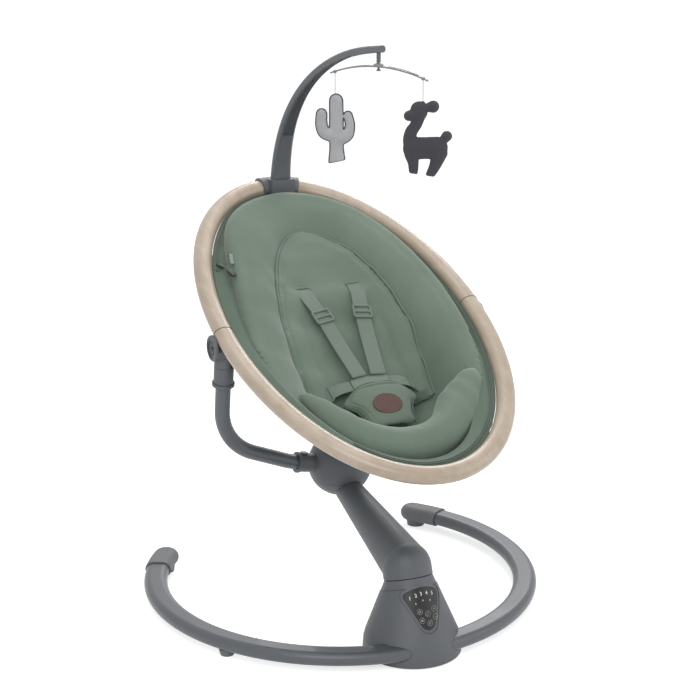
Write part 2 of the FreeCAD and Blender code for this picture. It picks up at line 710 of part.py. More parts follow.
def button_form(grow, foot):
    """An oval button across the socket's wall, from a distance foot over the arm's centreline."""
    heading = first_run_heading()
    up = V(-heading.z, 0, heading.x)
    half = (BUTTON_LENGTH - BUTTON_WIDTH) / 2
    r = BUTTON_WIDTH / 2 + grow
    tall = BUTTON_TOP - foot
    low = heading * BUTTON_OUT + up * foot
    corners = [
        low + heading * a + Y_AXIS * b for a, b in ((-half, -r), (half, -r), (half, r), (-half, r))
    ]
    middle = Part.Face(polygon(corners)).extrude(up * tall)
    ends = [Part.makeCylinder(r, tall, low + heading * s, up) for s in (-half, half)]
    return yoke_to_world(middle.fuse(ends).removeSplitter())


def make_lock_button():
    """Sprung button that locks the side arm in the hub; it travels into the socket."""
    return button_form(0, BUTTON_FOOT)


def make_hub_bracket():
    """Cast saddle on the cup's floor that holds the inner ends of the two side arms."""
    block = rounded_slab(60, 34, 60, 8)
    block.translate(HUB_CENTRE + V(0, 0, -50))
    bore = arm_bar(ARM_RADIUS + SEAT_FIT)
    block = block.cut([bore, mirrored(bore)])
    neck_room = neck_body(-SEAT_FIT, 0).cut(neck_body(NECK_WALL + SEAT_FIT, 0))
    block = block.common(hub_ball(HUB_WALL + SEAT_FIT)).cut(neck_room)
    return max(block.Solids, key=lambda s: s.Volume)


# ================================================================ side arms and pivots
def arm_points():
    """Corner points of the arm's centreline in the yoke's plane."""
    inner = first_run_heading() * 24.0
    elbow = V(ARM_ELBOW[0], 0, ARM_ELBOW[1])
    bend = V(ARM_BEND[0], 0, ARM_BEND[1])
    top = V(ARM_TOP_OUT, 0, YOKE_HEIGHT)
    rise = (top - bend).normalize()
    end = top - rise * (SLEEVE_HEAD + 8)
    return inner, elbow, bend, end, rise


def arm_bar(outer, inner=0.0):
    """A bar or tube along the whole centreline of the side arm."""
    start, elbow, bend, end, _ = arm_points()
    path = filleted_path([start, elbow, bend, end], [ARM_ELBOW_RADIUS, ARM_BEND_RADIUS])
    return yoke_to_world(tube_along(path, outer, inner))


def make_side_arm():
    """Bent steel tube from the hub up to the pivot, with a hole for the lock button."""
    tube = arm_bar(ARM_RADIUS, ARM_RADIUS - ARM_WALL)
    return tube.cut(button_form(2 * SLIDE_FIT, BUTTON_FOOT - 4))


def sleeve_axis():
    """A point at pivot height and the direction of the sleeve, in the yoke's plane."""
    _, _, _, _, rise = arm_points()
    return V(ARM_TOP_OUT, 0, YOKE_HEIGHT), rise


def make_arm_sleeve():
    """Sleeve over the arm's upper end, with a collar round its mouth."""
    top, rise = sleeve_axis()
    low = top - rise * SLEEVE_FOOT
    sleeve = Part.makeCylinder(SOCKET_RADIUS, SLEEVE_FOOT - SLEEVE_HEAD, low, rise)
    lip = Part.makeCylinder(SOCKET_LIP + 0.6, SLEEVE_LIP, low, rise)
    bore = Part.makeCylinder(ARM_RADIUS + SEAT_FIT, SLEEVE_FOOT - SLEEVE_HEAD - 7, low, rise)
    return yoke_to_world(sleeve.fuse(lip).cut(bore).removeSplitter())


def pivot_bar(radius, start, end):
    """A cylinder round the recline axis, between two distances from the middle."""
    return Part.makeCylinder(radius, end - start, V(start, PIVOT.y, PIVOT.z), X_AXIS)


def recline_clearance(x_from, x_to):
    """Room over the pivot for the seat ring, at both ends of the recline range."""
    under = -PIVOT_W - RING_DEPTH / 2 - RING_CLEARANCE
    rooms = []
    for turn in (0, -RECLINE_RANGE):
        room = Part.makeBox(x_to - x_from, 100, 60, V(x_from, -50, under))
        room.rotate(ORIGIN, X_AXIS, SEAT_TILT + turn)
        room.translate(V(0, PIVOT.y, PIVOT.z))
        rooms.append(room)
    return rooms[0].fuse(rooms[1])


def make_pivot_housing():
    """Round barrel under and outside the ring, with a foot that stands on the sleeve."""
    barrel = pivot_bar(BARREL_RADIUS, BARREL_INNER, BARREL_OUTER)
    rim = [e for e in barrel.Edges if e.BoundBox.XLength < 0.01 and e.BoundBox.XMax > BARREL_OUTER - 0.1]
    barrel = barrel.makeFillet(2.4, rim)
    top, rise = sleeve_axis()
    low = top - rise * (SLEEVE_HEAD - SPLIT_GAP)
    foot = circle_wire(low, rise, SOCKET_RADIUS - 0.2)
    neck = yoke_to_world(Part.Face(foot).extrude(rise * (SLEEVE_HEAD - SPLIT_GAP)))
    neck = neck.cut(pivot_bar(3 * BARREL_RADIUS, BARREL_INNER - 60, BARREL_INNER))
    body = barrel.fuse(neck)
    body = body.cut(recline_clearance(BARREL_INNER - 20, ring_outer() + RING_CLEARANCE))
    face = BARREL_OUTER - CAP_BUTTON_SUNK
    pocket = face - CAP_BUTTON_DEPTH - CAP_BUTTON_TRAVEL
    body = body.cut(pivot_bar(CAP_BUTTON_RADIUS + SLIDE_FIT, pocket, BARREL_OUTER + 1))
    body = body.cut(pivot_bar(PIVOT_PIN_RADIUS + RUNNING_FIT, BARREL_INNER - 1, BARREL_OUTER))
    return max(body.Solids, key=lambda s: s.Volume)


def ring_outer():
    """Half width over the outside of the seat ring."""
    return RING_HALF_WIDTH + RING_BREADTH / 2


def make_recline_button():
    """Round push button in the barrel's face, dished, with a small knob in the middle."""
    face = BARREL_OUTER - CAP_BUTTON_SUNK
    button = pivot_bar(CAP_BUTTON_RADIUS, face - CAP_BUTTON_DEPTH, face)
    dish = pivot_bar(CAP_BUTTON_RADIUS - 2.5, face - 0.8, face + 1)
    knob = pivot_bar(4.0, face - 1.2, face - 0.2)
    return button.cut(dish).fuse(knob).removeSplitter()


def make_pivot_pins():
    """Two headed steel pins, fixed in the lugs and turning in the barrels."""
    face = BARREL_OUTER - CAP_BUTTON_SUNK
    end = face - CAP_BUTTON_DEPTH - CAP_BUTTON_TRAVEL - 0.3
    pin = pivot_bar(PIVOT_PIN_RADIUS, LUG_INNER, end)
    return Part.makeCompound([pin, mirrored(pin)])


def make_pivot_lugs():
    """Two lugs screwed under the ring; each carries one pivot pin."""
    outer = BARREL_INNER - RING_CLEARANCE
    boss = pivot_bar(LUG_RADIUS, LUG_INNER, outer)
    plate = Part.makeBox(outer - LUG_INNER, LUG_SHOULDER, -PIVOT_W,
                         V(LUG_INNER, PIVOT_V - LUG_SHOULDER / 2, PIVOT_W))
    lug = boss.fuse(seat_to_world(plate))
    split = ring_angle(RING_SPLIT_V)
    room = seat_to_world(ring_arc(RING_BREADTH, RING_DEPTH, split - 20, split + 20))
    lug = lug.cut([room, pivot_bar(PIVOT_PIN_RADIUS + 0.02, LUG_INNER - 1, outer + 1)])
    lug = max(lug.Solids, key=lambda s: s.Volume)
    return Part.makeCompound([lug, mirrored(lug)])


# ================================================================ seat ring
def ring_arc(breadth, depth, first, last):
    """Part of the ring, between two angles of the ellipse counted from the head end.

    An oval section is swept along the ellipse, in the ring's plane.
    """
    ellipse = Part.Ellipse(V(0, RING_HALF_LENGTH, 0), V(RING_HALF_WIDTH, 0, 0), ORIGIN)
    path = Part.Wire(ellipse.toShape(math.radians(first), math.radians(last)))
    edge = path.Edges[0]
    start = edge.valueAt(edge.FirstParameter)
    heading = edge.tangentAt(edge.FirstParameter)
    across = heading.cross(Z_AXIS).normalize()
    section = ellipse_wire(start, heading, across, breadth / 2, depth / 2)
    return path.makePipeShell([section], True, True)


def ring_angle(v):
    """Angle of the ellipse, from the head end, at which the ring reaches a length v."""
    return math.degrees(math.acos(v / RING_HALF_LENGTH))


def make_ring_half(head):
    """Hollow head half or foot half of the ring, cut off square at the parting line."""
    if head:
        last = ring_angle(RING_SPLIT_V + SPLIT_GAP / 2)
        first = -last
    else:
        first = ring_angle(RING_SPLIT_V - SPLIT_GAP / 2)
        last = 360 - first
    outer = ring_arc(RING_BREADTH, RING_DEPTH, first, last)
    inner = ring_arc(RING_BREADTH - 2 * RING_WALL, RING_DEPTH - 2 * RING_WALL, first - 1, last + 1)
    return seat_to_world(outer.cut(inner))


def make_ring_plugs():
    """Two oval plugs inside the ring that join its halves."""
    reach = RING_PLUG_LENGTH / 2
    first = ring_angle(RING_SPLIT_V + reach)
    last = ring_angle(RING_SPLIT_V - reach)
    inner = 2 * (RING_WALL + SEAT_FIT)
    plug = seat_to_world(ring_arc(RING_BREADTH - inner, RING_DEPTH - inner, first, last))
    return Part.makeCompound([plug, mirrored(plug)])


# ================================================================ soft goods
def section_curve(v, half_width, middle, half_height, power):
    """A closed superellipse across the seat at length v, as a smooth wire in (X, W)."""
    points = []
    count = 24
    for k in range(count):
        turn = 2 * math.pi * (k + 0.5) / count
        c = math.cos(turn)
        s = math.sin(turn)
        x = half_width * math.copysign(abs(c) ** (2 / power), c)
        w = middle + half_height * math.copysign(abs(s) ** (2 / power), s)
        points.append(V(x, v, w))
    curve = Part.BSplineCurve()
    curve.interpolate(Points=points, PeriodicFlag=True)
    return Part.Wire(curve.toShape())


def smooth_through(stations, v):
    """A value at length v between given (length, value) stations, eased with a cosine."""
    if v <= stations[0][0]:
        return stations[0][1]
    for (v0, a), (v1, b) in zip(stations, stations[1:]):
        if v <= v1:
            share = 0.5 - 0.5 * math.cos(math.pi * (v - v0) / (v1 - v0))
            return a + (b - a) * share
    return stations[-1][1]


def half_width_at(v, half_x, half_v):
    """Half width of an ellipse at length v."""
    return half_x * math.sqrt(max(1 - (v / half_v) ** 2, 0))


OPENING_X = RING_HALF_WIDTH - RING_BREADTH / 2
OPENING_V = RING_HALF_LENGTH - RING_BREADTH / 2
PAD_X = OPENING_X - LINER_WIDTH - PAD_GAP
PAD_V = OPENING_V - LINER_WIDTH - PAD_GAP


def bowl(inset):
    """Half an ellipsoid under the ring's plane, smaller than the fabric bowl by inset."""
    ball = Part.makeSphere(1.0)
    stretch = FreeCAD.Matrix()
    stretch.scale(OPENING_X - SHELL_GAP - inset, OPENING_V - SHELL_GAP - inset, SHELL_DEPTH - inset)
    half = ball.transformGeometry(stretch)
    size = 3 * OPENING_V
    above = Part.makeBox(size, size, size, V(-size / 2, -size / 2, -LINER_THICKNESS - SOFT_GAP))
    return half.cut(above)


def make_seat_shell():
    """Fabric bowl hung in the ring, one thin wall."""
    return seat_to_world(bowl(0).cut(bowl(SHELL_THICKNESS)))


def oval_prism(gap_x, gap_v, low, high):
    """An upright prism over the ring's opening made smaller by the two gaps."""
    wire = ellipse_wire(V(0, 0, low), Z_AXIS, Y_AXIS, OPENING_V - gap_v, OPENING_X - gap_x)
    return Part.Face(wire).extrude(V(0, 0, high - low))


def make_zip_band():
    """Flat band with the zip, between the ring and the pad."""
    outer = oval_prism(LINER_GAP, LINER_GAP, -LINER_THICKNESS, 0)
    inner = oval_prism(LINER_WIDTH, LINER_WIDTH, -LINER_THICKNESS - 1, 1)
    return seat_to_world(outer.cut(inner))


FLOOR_LINE = [(-312, -20), (-250, -62), (-150, -88), (-60, -62), (20, -40), (90, -18),
              (160, -2), (230, 9), (312, 8)]


HOLLOW_LINE = [(-120, 168), (-65, 148), (0, 126), (76, 108), (110, 92), (180, 66), (230, 40),
               (312, 26)]


def sitting_hollow(lift=0.0):
    """The open space over the pad, raised by lift: smooth sections from the foot end to the head.

    Towards the head it is narrower than the pad, because the pad has a thick roll round it there.
    """
    wires = []
    count = 12
    for k in range(count):
        v = (2 * k / (count - 1) - 1) * (PAD_V - 2 * PAD_LIP)
        low = smooth_through(FLOOR_LINE, v) + lift
        width = half_width_at(v, PAD_X - PAD_LIP, PAD_V - PAD_LIP)
        width = min(width, smooth_through(HOLLOW_LINE, v)) - lift / 2
        wires.append(section_curve(v, width, HOLLOW_CROWN, HOLLOW_CROWN - low, HOLLOW_POWER))
    return solid_loft(wires)


def make_seat_pad():
    """Thick cover and cushion that fill the bowl, hollowed to sit in."""
    low = bowl(SHELL_THICKNESS + SOFT_GAP).common(
        oval_prism(LINER_WIDTH + PAD_GAP, LINER_WIDTH + PAD_GAP, -SHELL_DEPTH, 0))
    rim = oval_prism(LINER_WIDTH + PAD_GAP, LINER_WIDTH + PAD_GAP,
                     -LINER_THICKNESS - SOFT_GAP, 2 * PAD_HEAD_HEIGHT)
    size = 3 * PAD_V
    above = Part.makeBox(size, size, size, V(-size / 2, -size / 2, 0))
    rise = (PAD_HEAD_HEIGHT - PAD_RIM_HEIGHT) / PAD_V
    above.rotate(ORIGIN, X_AXIS, math.degrees(math.atan(rise)))
    above.translate(V(0, 0, PAD_RIM_HEIGHT))
    rim = rim.cut(above)
    pad = low.fuse(rim).removeSplitter().cut(sitting_hollow())
    return seat_to_world(max(pad.Solids, key=lambda s: s.Volume))


def insert_half_width(v):
    """Half width of the inner cushion: a rounded arch towards the head, a slow taper below."""
    if v < INSERT_WAIST_V:
        return INSERT_HALF_WIDTH - INSERT_TAPER * (INSERT_WAIST_V - v)
    share = (v - INSERT_WAIST_V) / (INSERT_HEAD_V - INSERT_WAIST_V)
    return INSERT_HALF_WIDTH * (1 - share ** 1.8) ** 0.56


def arch_prism(low, high):
    """An upright prism over the inner cushion's outline, from one height to another."""
    count = 14
    right = []
    for k in range(count):
        share = math.sin(k / (count - 1) * math.pi / 2)
        v = INSERT_FOOT_V + (INSERT_HEAD_V - 1 - INSERT_FOOT_V) * share
        right.append((insert_half_width(v), v))
    outline = right + [(-x, v) for x, v in reversed(right)]
    return Part.Face(polygon([V(x, v, low) for x, v in outline])).extrude(V(0, 0, high - low))


def make_insert():
    """Soft inner cushion that follows the hollow, from the head to the crotch pad."""
    lining = sitting_hollow(SOFT_GAP).cut(sitting_hollow(INSERT_THICKNESS))
    cushion = lining.common(arch_prism(-SHELL_DEPTH, HOLLOW_CROWN - SOFT_GAP))
    return seat_to_world(max(cushion.Solids, key=lambda s: s.Volume))


def make_foot_bolster(pad):
    """Crescent cushion along the foot edge of the pad, thick in the middle, thin at its tips."""
    wires = []
    count = 9
    for k in range(count):
        share = 2 * k / (count - 1) - 1
        turn = share * math.radians(BOLSTER_SWEEP)
        thick = 1 - BOLSTER_THINNING * share * share
        sink = BOLSTER_SINK * (1 - share * share) + 2 * share * share
        wide = PAD_X - BOLSTER_SIDE_IN
        long = PAD_V - BOLSTER_IN
        centre = V(wide * math.sin(turn), -long * math.cos(turn), -sink)
        along = V(wide * math.cos(turn), long * math.sin(turn), 0).normalize()
        across = V(-along.y, along.x, 0)
        wires.append(ellipse_wire(centre, along, across, BOLSTER_HALF_WIDTH * thick,
                                  BOLSTER_HALF_HEIGHT * thick))
    bolster = seat_to_world(solid_loft(wires)).cut(pad)
    return max(bolster.Solids, key=lambda s: s.Volume)


def strap(points, width=STRAP_WIDTH, thickness=STRAP_THICKNESS):
    """A flat strap through points (x, v, w) in the ring's plane, lying across its run."""
    wires = []
    spots = [V(*p) for p in points]
    for k, spot in enumerate(spots):
        ahead = spots[min(k + 1, len(spots) - 1)] - spots[max(k - 1, 0)]
        across = ahead.cross(Z_AXIS).normalize() * (width / 2)
        up = across.cross(ahead).normalize() * (thickness / 2)
        wires.append(polygon([spot + across + up, spot - across + up,
                              spot - across - up, spot + across - up]))
    return seat_to_world(solid_loft(wires, True))


SHOULDER_RUN = [(46, 97, -18), (45, 82, -8.5), (35, 30, -14), (26, -26, -27), (16, -91, -39)]
HIP_RUN = [(88, -106, -76), (74, -104, -60), (56, -103, -49), (32, -103, -45)]
CROTCH_RUN = [(0, -172, -96), (0, -166, -76), (0, -158, -58), (0, -150, -44)]


def point_on(run, share):
    """Point and direction at a share of a run's length."""
    spots = [V(*p) for p in run]
    lengths = [(b - a).Length for a, b in zip(spots, spots[1:])]
    left = share * sum(lengths)
    for a, b, length in zip(spots, spots[1:], lengths):
        if left <= length:
            return a + (b - a) * (left / length), (b - a).normalize()
        left -= length
    return spots[-1], (spots[-1] - spots[-2]).normalize()


def make_adjusters(share, width=32.0, length=22.0):
    """Two slide adjusters: ladder-shaped plates with two windows, on the shoulder straps."""
    centre, ahead = point_on(SHOULDER_RUN, share)
    across = ahead.cross(Z_AXIS).normalize()
    up = across.cross(ahead).normalize()
    centre = centre + up * (STRAP_THICKNESS / 2 + 0.05)
    plate = rounded_slab(width, length, 3.0, 3.0)
    for shift in (-5.0, 5.0):
        plate = plate.cut(Part.makeBox(width - 6, 5, 4, V(-(width - 6) / 2, shift - 2.5, -0.5)))
    frame = FreeCAD.Matrix(
        across.x, ahead.x, up.x, centre.x,
        across.y, ahead.y, up.y, centre.y,
        across.z, ahead.z, up.z, centre.z,
        0, 0, 0, 1)
    plate.Placement = FreeCAD.Placement(frame)
    right = seat_to_world(plate)
    return Part.makeCompound([right, mirrored(right)])


SHIELD_LINE = [(-196, 30), (-188, 38), (-166, 42), (-150, 47), (-133, 61), (-125, 58),
               (-115, 45), (-105, 22)]


def shield_middle(v):
    """Height of the crotch pad's middle surface at length v."""
    rest = BUCKLE_W + BUCKLE_HEIGHT + SOFT_GAP + SHIELD_HALF_HEIGHT
    return rest + (v - BUCKLE_V + BUCKLE_LENGTH / 2) * SHIELD_SLOPE


def make_crotch_pad():
    """Soft shield over the buckle, with a wing each side and a long tongue down to the foot."""
    wires = []
    count = 10
    for k in range(count):
        v = SHIELD_FOOT_V + (SHIELD_TOP_V - SHIELD_FOOT_V) * k / (count - 1)
        thick = SHIELD_HALF_HEIGHT * (1 - 0.45 * abs(2 * k / (count - 1) - 1) ** 4)
        wires.append(section_curve(v, smooth_through(SHIELD_LINE, v), shield_middle(v), thick, 3.0))
    return seat_to_world(solid_loft(wires))


def make_buckle(pad):
    """Harness buckle under the top of the crotch pad, with two tongues of the waist straps."""
    body = rounded_slab(BUCKLE_WIDTH, BUCKLE_LENGTH, BUCKLE_HEIGHT, 10)
    body.translate(V(0, BUCKLE_V, BUCKLE_W))
    body = seat_to_world(body).cut(pad)
    return max(body.Solids, key=lambda s: s.Volume)


def laid_strap(run, width, pieces, mirror=False):
    """A strap cut back where it runs into the pieces that it lies on or goes under."""
    band = strap(run, width)
    if mirror:
        band = mirrored(band)
    band = band.cut(pieces)
    return max(band.Solids, key=lambda s: s.Volume)


def make_badge(pad):
    """Small oval leather-look patch that lies on the crotch pad."""
    patch = Part.Face(ellipse_wire(ORIGIN, Z_AXIS, X_AXIS, BADGE_HALF_WIDTH, BADGE_HALF_LENGTH))
    patch = patch.extrude(V(0, 0, SHIELD_HALF_HEIGHT + BADGE_THICKNESS))
    patch.rotate(ORIGIN, X_AXIS, math.degrees(math.atan(SHIELD_SLOPE)))
    patch.translate(V(0, BADGE_V, shield_middle(BADGE_V)))
    patch = seat_to_world(patch).cut(pad)
    return max(patch.Solids, key=lambda s: s.BoundBox.ZMax)


# ================================================================ zip pull
def make_zip_slider():
    body = rounded_slab(7, 14, 3, 2)
    body.rotate(ORIGIN, Z_AXIS, 26)
    body.translate(V(-161, 160, 0.1))
    return seat_to_world(body)


def make_zip_toggle():
    toggle = rounded_slab(10, 17, 5, 3)
    toggle.rotate(ORIGIN, Z_AXIS, 16)
    toggle.translate(V(-157, 123, PAD_RIM_HEIGHT + TOGGLE_RISE))
    return seat_to_world(toggle)


# ================================================================ toy arm
RING_HEAD = seat_point(0, RING_HALF_LENGTH, 0)
ARM_FOOT = RING_HEAD - V(0, TOY_ARM_FOOT_IN, TOY_ARM_FOOT_DROP)
PLINTH_TOP = RING_HEAD.z + PLINTH_RISE


def toy_arm_curve(share):
    """Centreline of the toy arm, most of a rounded quarter: 0 at the foot, 1 at the tip."""
    last = math.radians(TOY_ARM_SWEEP)
    angle = share * last
    reach = ARM_FOOT.y - TOY_ARM_Y + TOY_ARM_TIP
    rise = TOY_ARM_TOP - ARM_FOOT.z
    power = 2 / TOY_ARM_ROUND
    left = math.cos(last) ** power
    y = TOY_ARM_Y - TOY_ARM_TIP + reach * (math.cos(angle) ** power - left) / (1 - left)
    z = ARM_FOOT.z + rise * (math.sin(angle) / math.sin(last)) ** power
    return V(TOY_ARM_X, y, z)


def toy_arm_section(share, width, depth, shift):
    """A rounded rectangle across the arm, moved by shift towards its underside."""
    here = toy_arm_curve(share)
    ahead = (toy_arm_curve(min(share + 0.01, 1)) - toy_arm_curve(max(share - 0.01, 0))).normalize()
    under = X_AXIS.cross(ahead)
    centre = here + under * shift
    r = min(depth, width) * 0.42
    a = width / 2 - r
    b = depth / 2 - r
    bulge = math.sqrt(0.5) * r

    def at(i, j):
        return centre + X_AXIS * i + under * j

    edges = []
    for sx, sy in ((1, 1), (-1, 1), (-1, -1), (1, -1)):
        first = at(sx * (a + r), sy * b) if sx * sy > 0 else at(sx * a, sy * (b + r))
        last = at(sx * a, sy * (b + r)) if sx * sy > 0 else at(sx * (a + r), sy * b)
        edges.append(Part.Arc(first, at(sx * (a + bulge), sy * (b + bulge)), last).toShape())
    wire = []
    for k, edge in enumerate(edges):
        follow = edges[(k + 1) % 4]
        wire.append(edge)
        wire.append(Part.LineSegment(
            edge.valueAt(edge.LastParameter), follow.valueAt(follow.FirstParameter)).toShape())
    return Part.Wire(wire)


def toy_arm_width(share):
    return TOY_ARM_FOOT_WIDTH + (TOY_ARM_TIP_WIDTH - TOY_ARM_FOOT_WIDTH) * min(share * 1.25, 1)


def toy_arm_depth(share):
    return TOY_ARM_FOOT_DEPTH + (TOY_ARM_TIP_DEPTH - TOY_ARM_FOOT_DEPTH) * share


TOY_ARM_STATIONS = (0.0, 0.12, 0.25, 0.4, 0.55, 0.7, 0.85, 1.0)


def make_toy_arm():
    """Curved arm with an open channel along its underside."""
    outer = solid_loft([
        toy_arm_section(s, toy_arm_width(s), toy_arm_depth(s), 0) for s in TOY_ARM_STATIONS
    ])
    channel = solid_loft([
        toy_arm_section(s, toy_arm_width(s) * CHANNEL_SHARE, toy_arm_depth(s) - 3,
                        toy_arm_depth(s) * 0.45)
        for s in TOY_ARM_STATIONS[2:-1]
    ])
    arm = outer.cut(channel)
    pin_hole = Part.makeCylinder(HANGER_RADIUS + SEAT_FIT, 8, V(TOY_ARM_X, TOY_ARM_Y, TOY_ARM_TOP - 9))
    arm = arm.cut(pin_hole)
    size = 2 * RING_HALF_WIDTH
    below = Part.makeBox(size, size, size, V(-size / 2, ARM_FOOT.y - size / 2, PLINTH_TOP - size))
    return max(arm.cut(below).Solids, key=lambda s: s.Volume)


def make_toy_arm_clamp():
    """Saddle that grips the ring's head end, with a stepped plinth for the arm."""
    middle = math.degrees(math.asin(TOY_ARM_X / RING_HALF_WIDTH))
    reach = math.degrees(math.asin(CLAMP_LENGTH / 2 / RING_HALF_WIDTH))
    saddle = ring_arc(RING_BREADTH + 2 * CLAMP_WALL, RING_DEPTH + 2 * CLAMP_WALL,
                      middle - reach, middle + reach)
    saddle = seat_to_world(saddle.cut(oval_prism(-0.3, -0.3, -80, SOFT_GAP)))
    plinth = rounded_slab(TOY_ARM_FOOT_WIDTH + 7, TOY_ARM_FOOT_DEPTH + 7, PLINTH_HEIGHT, 7)
    plinth.translate(V(TOY_ARM_X, toy_arm_curve(0.1).y, PLINTH_TOP - PLINTH_HEIGHT))
    ring = seat_to_world(ring_arc(RING_BREADTH, RING_DEPTH,
                                  middle - reach - 6, middle + reach + 6))
    inside = seat_to_world(oval_prism(-0.3, -0.3, -80, SOFT_GAP))
    body = saddle.fuse(plinth).cut([ring, inside])
    return max(body.Solids, key=lambda s: s.Volume)


def make_hanger_pin():
    """Turned pin that the mobile hangs and turns on."""
    top = TOY_ARM_TOP - 2.0
    low = MOBILE_Z - 4.0
    pin = Part.makeCylinder(HANGER_RADIUS, top - low - 10, V(TOY_ARM_X, TOY_ARM_Y, low + 10))
    neck = Part.makeCylinder(1.6, 14, V(TOY_ARM_X, TOY_ARM_Y, low - 1))
    button = Part.makeCylinder(3.4, 1.6, V(TOY_ARM_X, TOY_ARM_Y, low - 2.6))
    return pin.fuse([neck, button]).removeSplitter()


# ================================================================ mobile
def mobile_to_world(shape):
    """Place a shape drawn along X, with the bar's middle at the origin."""
    placed = shape.copy()
    placed.rotate(ORIGIN, Z_AXIS, -MOBILE_TURN)
    placed.translate(V(TOY_ARM_X, TOY_ARM_Y, MOBILE_Z))
    return placed


def bar_height(x):
    """The bar's arch: its height at a distance from the middle."""
    return -MOBILE_DROP * (abs(x) / MOBILE_HALF) ** 1.8


def make_mobile_bar():
    """Arched bar with an open slot in each arm and small hooks at the ends."""
    half = MOBILE_HALF

    def arch(scale, x):
        return V(x, 0, bar_height(x) + scale)

    t = BAR_HALF_THICKNESS
    wide = BAR_HALF_WIDTH
    tip = BAR_END_HALF_WIDTH
    top = Part.Arc(arch(t, -half), V(0, 0, t), arch(t, half)).toShape()
    low = Part.Arc(arch(-t, half), V(0, 0, -t), arch(-t, -half)).toShape()
    ends = [Part.LineSegment(arch(t, half), arch(-t, half)).toShape(),
            Part.LineSegment(arch(-t, -half), arch(t, -half)).toShape()]
    strip = Part.Face(Part.Wire([top, ends[0], low, ends[1]])).extrude(V(0, 2 * wide, 0))
    strip.translate(V(0, -wide, 0))
    quarter = [(half, tip), (half / 2, wide), (0, wide), (-half / 2, wide), (-half, tip)]
    plan = [(x, y) for x, y in quarter] + [(x, -y) for x, y in reversed(quarter)]
    outline = polygon([V(x, y, -half) for x, y in plan])
    strip = strip.common(Part.Face(outline).extrude(V(0, 0, 2 * half)))
    length = half * BAR_SLOT_SHARE
    for side in (-1, 1):
        start = min(side * BAR_SLOT_START, side * (BAR_SLOT_START + length))
        corner = V(start, -BAR_SLOT_WIDTH / 2, -half)
        strip = strip.cut(Part.makeBox(length, BAR_SLOT_WIDTH, 2 * half, corner))
    hub = Part.makeCylinder(4.6, 2 * t, V(0, 0, -t))
    ball = Part.makeSphere(BAR_DOME_RADIUS, V(0, 0, -BAR_DOME_RADIUS / 2 - 0.1))
    dome = ball.common(Part.makeBox(40, 40, 20, V(-20, -20, 0)))
    bore = Part.makeCylinder(1.6 + RUNNING_FIT, 20, V(0, 0, -10))
    strip = strip.fuse([hub, dome]).cut(bore)
    for side in (-1, 1):
        x = side * (half - STRING_IN)
        centre = V(x, -EYE_WIDTH / 2, bar_height(x))
        strip = strip.fuse(Part.makeCylinder(EYE_RADIUS, EYE_WIDTH, centre, Y_AXIS))
    return mobile_to_world(strip)


def hang_point(side):
    """Lower edge of the bar where a string leaves it, in the mobile's frame."""
    x = side * (MOBILE_HALF - STRING_IN)
    return V(x, 0, bar_height(x) - EYE_RADIUS)


def make_string(side):
    top = hang_point(side)
    return mobile_to_world(Part.makeCylinder(
        STRING_RADIUS, STRING_LENGTH, top - V(0, 0, STRING_LENGTH)))


def bar_solid(start, end, radius):
    """A round-ended flat bar in the XZ plane between two points, extruded along Y."""
    ahead = end - start
    side = V(-ahead.z, 0, ahead.x).normalize() * radius
    middle = Part.Face(polygon([start + side, end + side, end - side, start - side]))
    base = V(0, -TOY_THICKNESS / 2, 0)
    block = middle.extrude(V(0, TOY_THICKNESS, 0))
    block.translate(base)
    ends = [Part.makeCylinder(radius, TOY_THICKNESS, p + base, Y_AXIS) for p in (start, end)]
    return block.fuse(ends)


def soft_toy(side, bars):
    """A flat padded toy made of round-ended bars, hung under its string."""
    hang = hang_point(side) - V(0, 0, STRING_LENGTH)
    solids = [bar_solid(V(a[0], 0, a[1]), V(b[0], 0, b[1]), r) for a, b, r in bars]
    toy = solids[0].fuse(solids[1:]).removeSplitter()
    toy.rotate(ORIGIN, Z_AXIS, MOBILE_TURN - TOY_TURN)
    toy.translate(hang)
    return mobile_to_world(toy)


# Each bar runs between two points (x, z) under the end of the string, with a radius.
CACTUS_BARS = [
    ((1.5, -10.8), (1.5, -96), 10.8),
    ((-22.5, -33), (-22.5, -52), 8),
    ((-22.5, -52), (-8, -66), 9),
    ((22.5, -35), (22.5, -56), 8),
    ((22.5, -56), (8, -72), 9),
]
LLAMA_BARS = [
    ((0, -8), (0, -3.05), 3),
    ((-7, -14.5), (-6, -18), 13),
    ((-12, -20), (-20, -21.5), 7),
    ((11, -10), (16, -8.2), 7.5),
    ((-8, -26), (-18, -48), 8.5),
    ((-18, -48), (-14, -68), 10),
    ((-13, -70), (21, -70), 15),
    ((-14, -78), (-12.5, -104), 6),
    ((23, -76), (13, -106), 6.5),
    ((31, -60), (36, -54), 6.8),
]


def make_cactus():
    return soft_toy(-1, CACTUS_BARS)


def make_llama():
    return soft_toy(1, LLAMA_BARS)


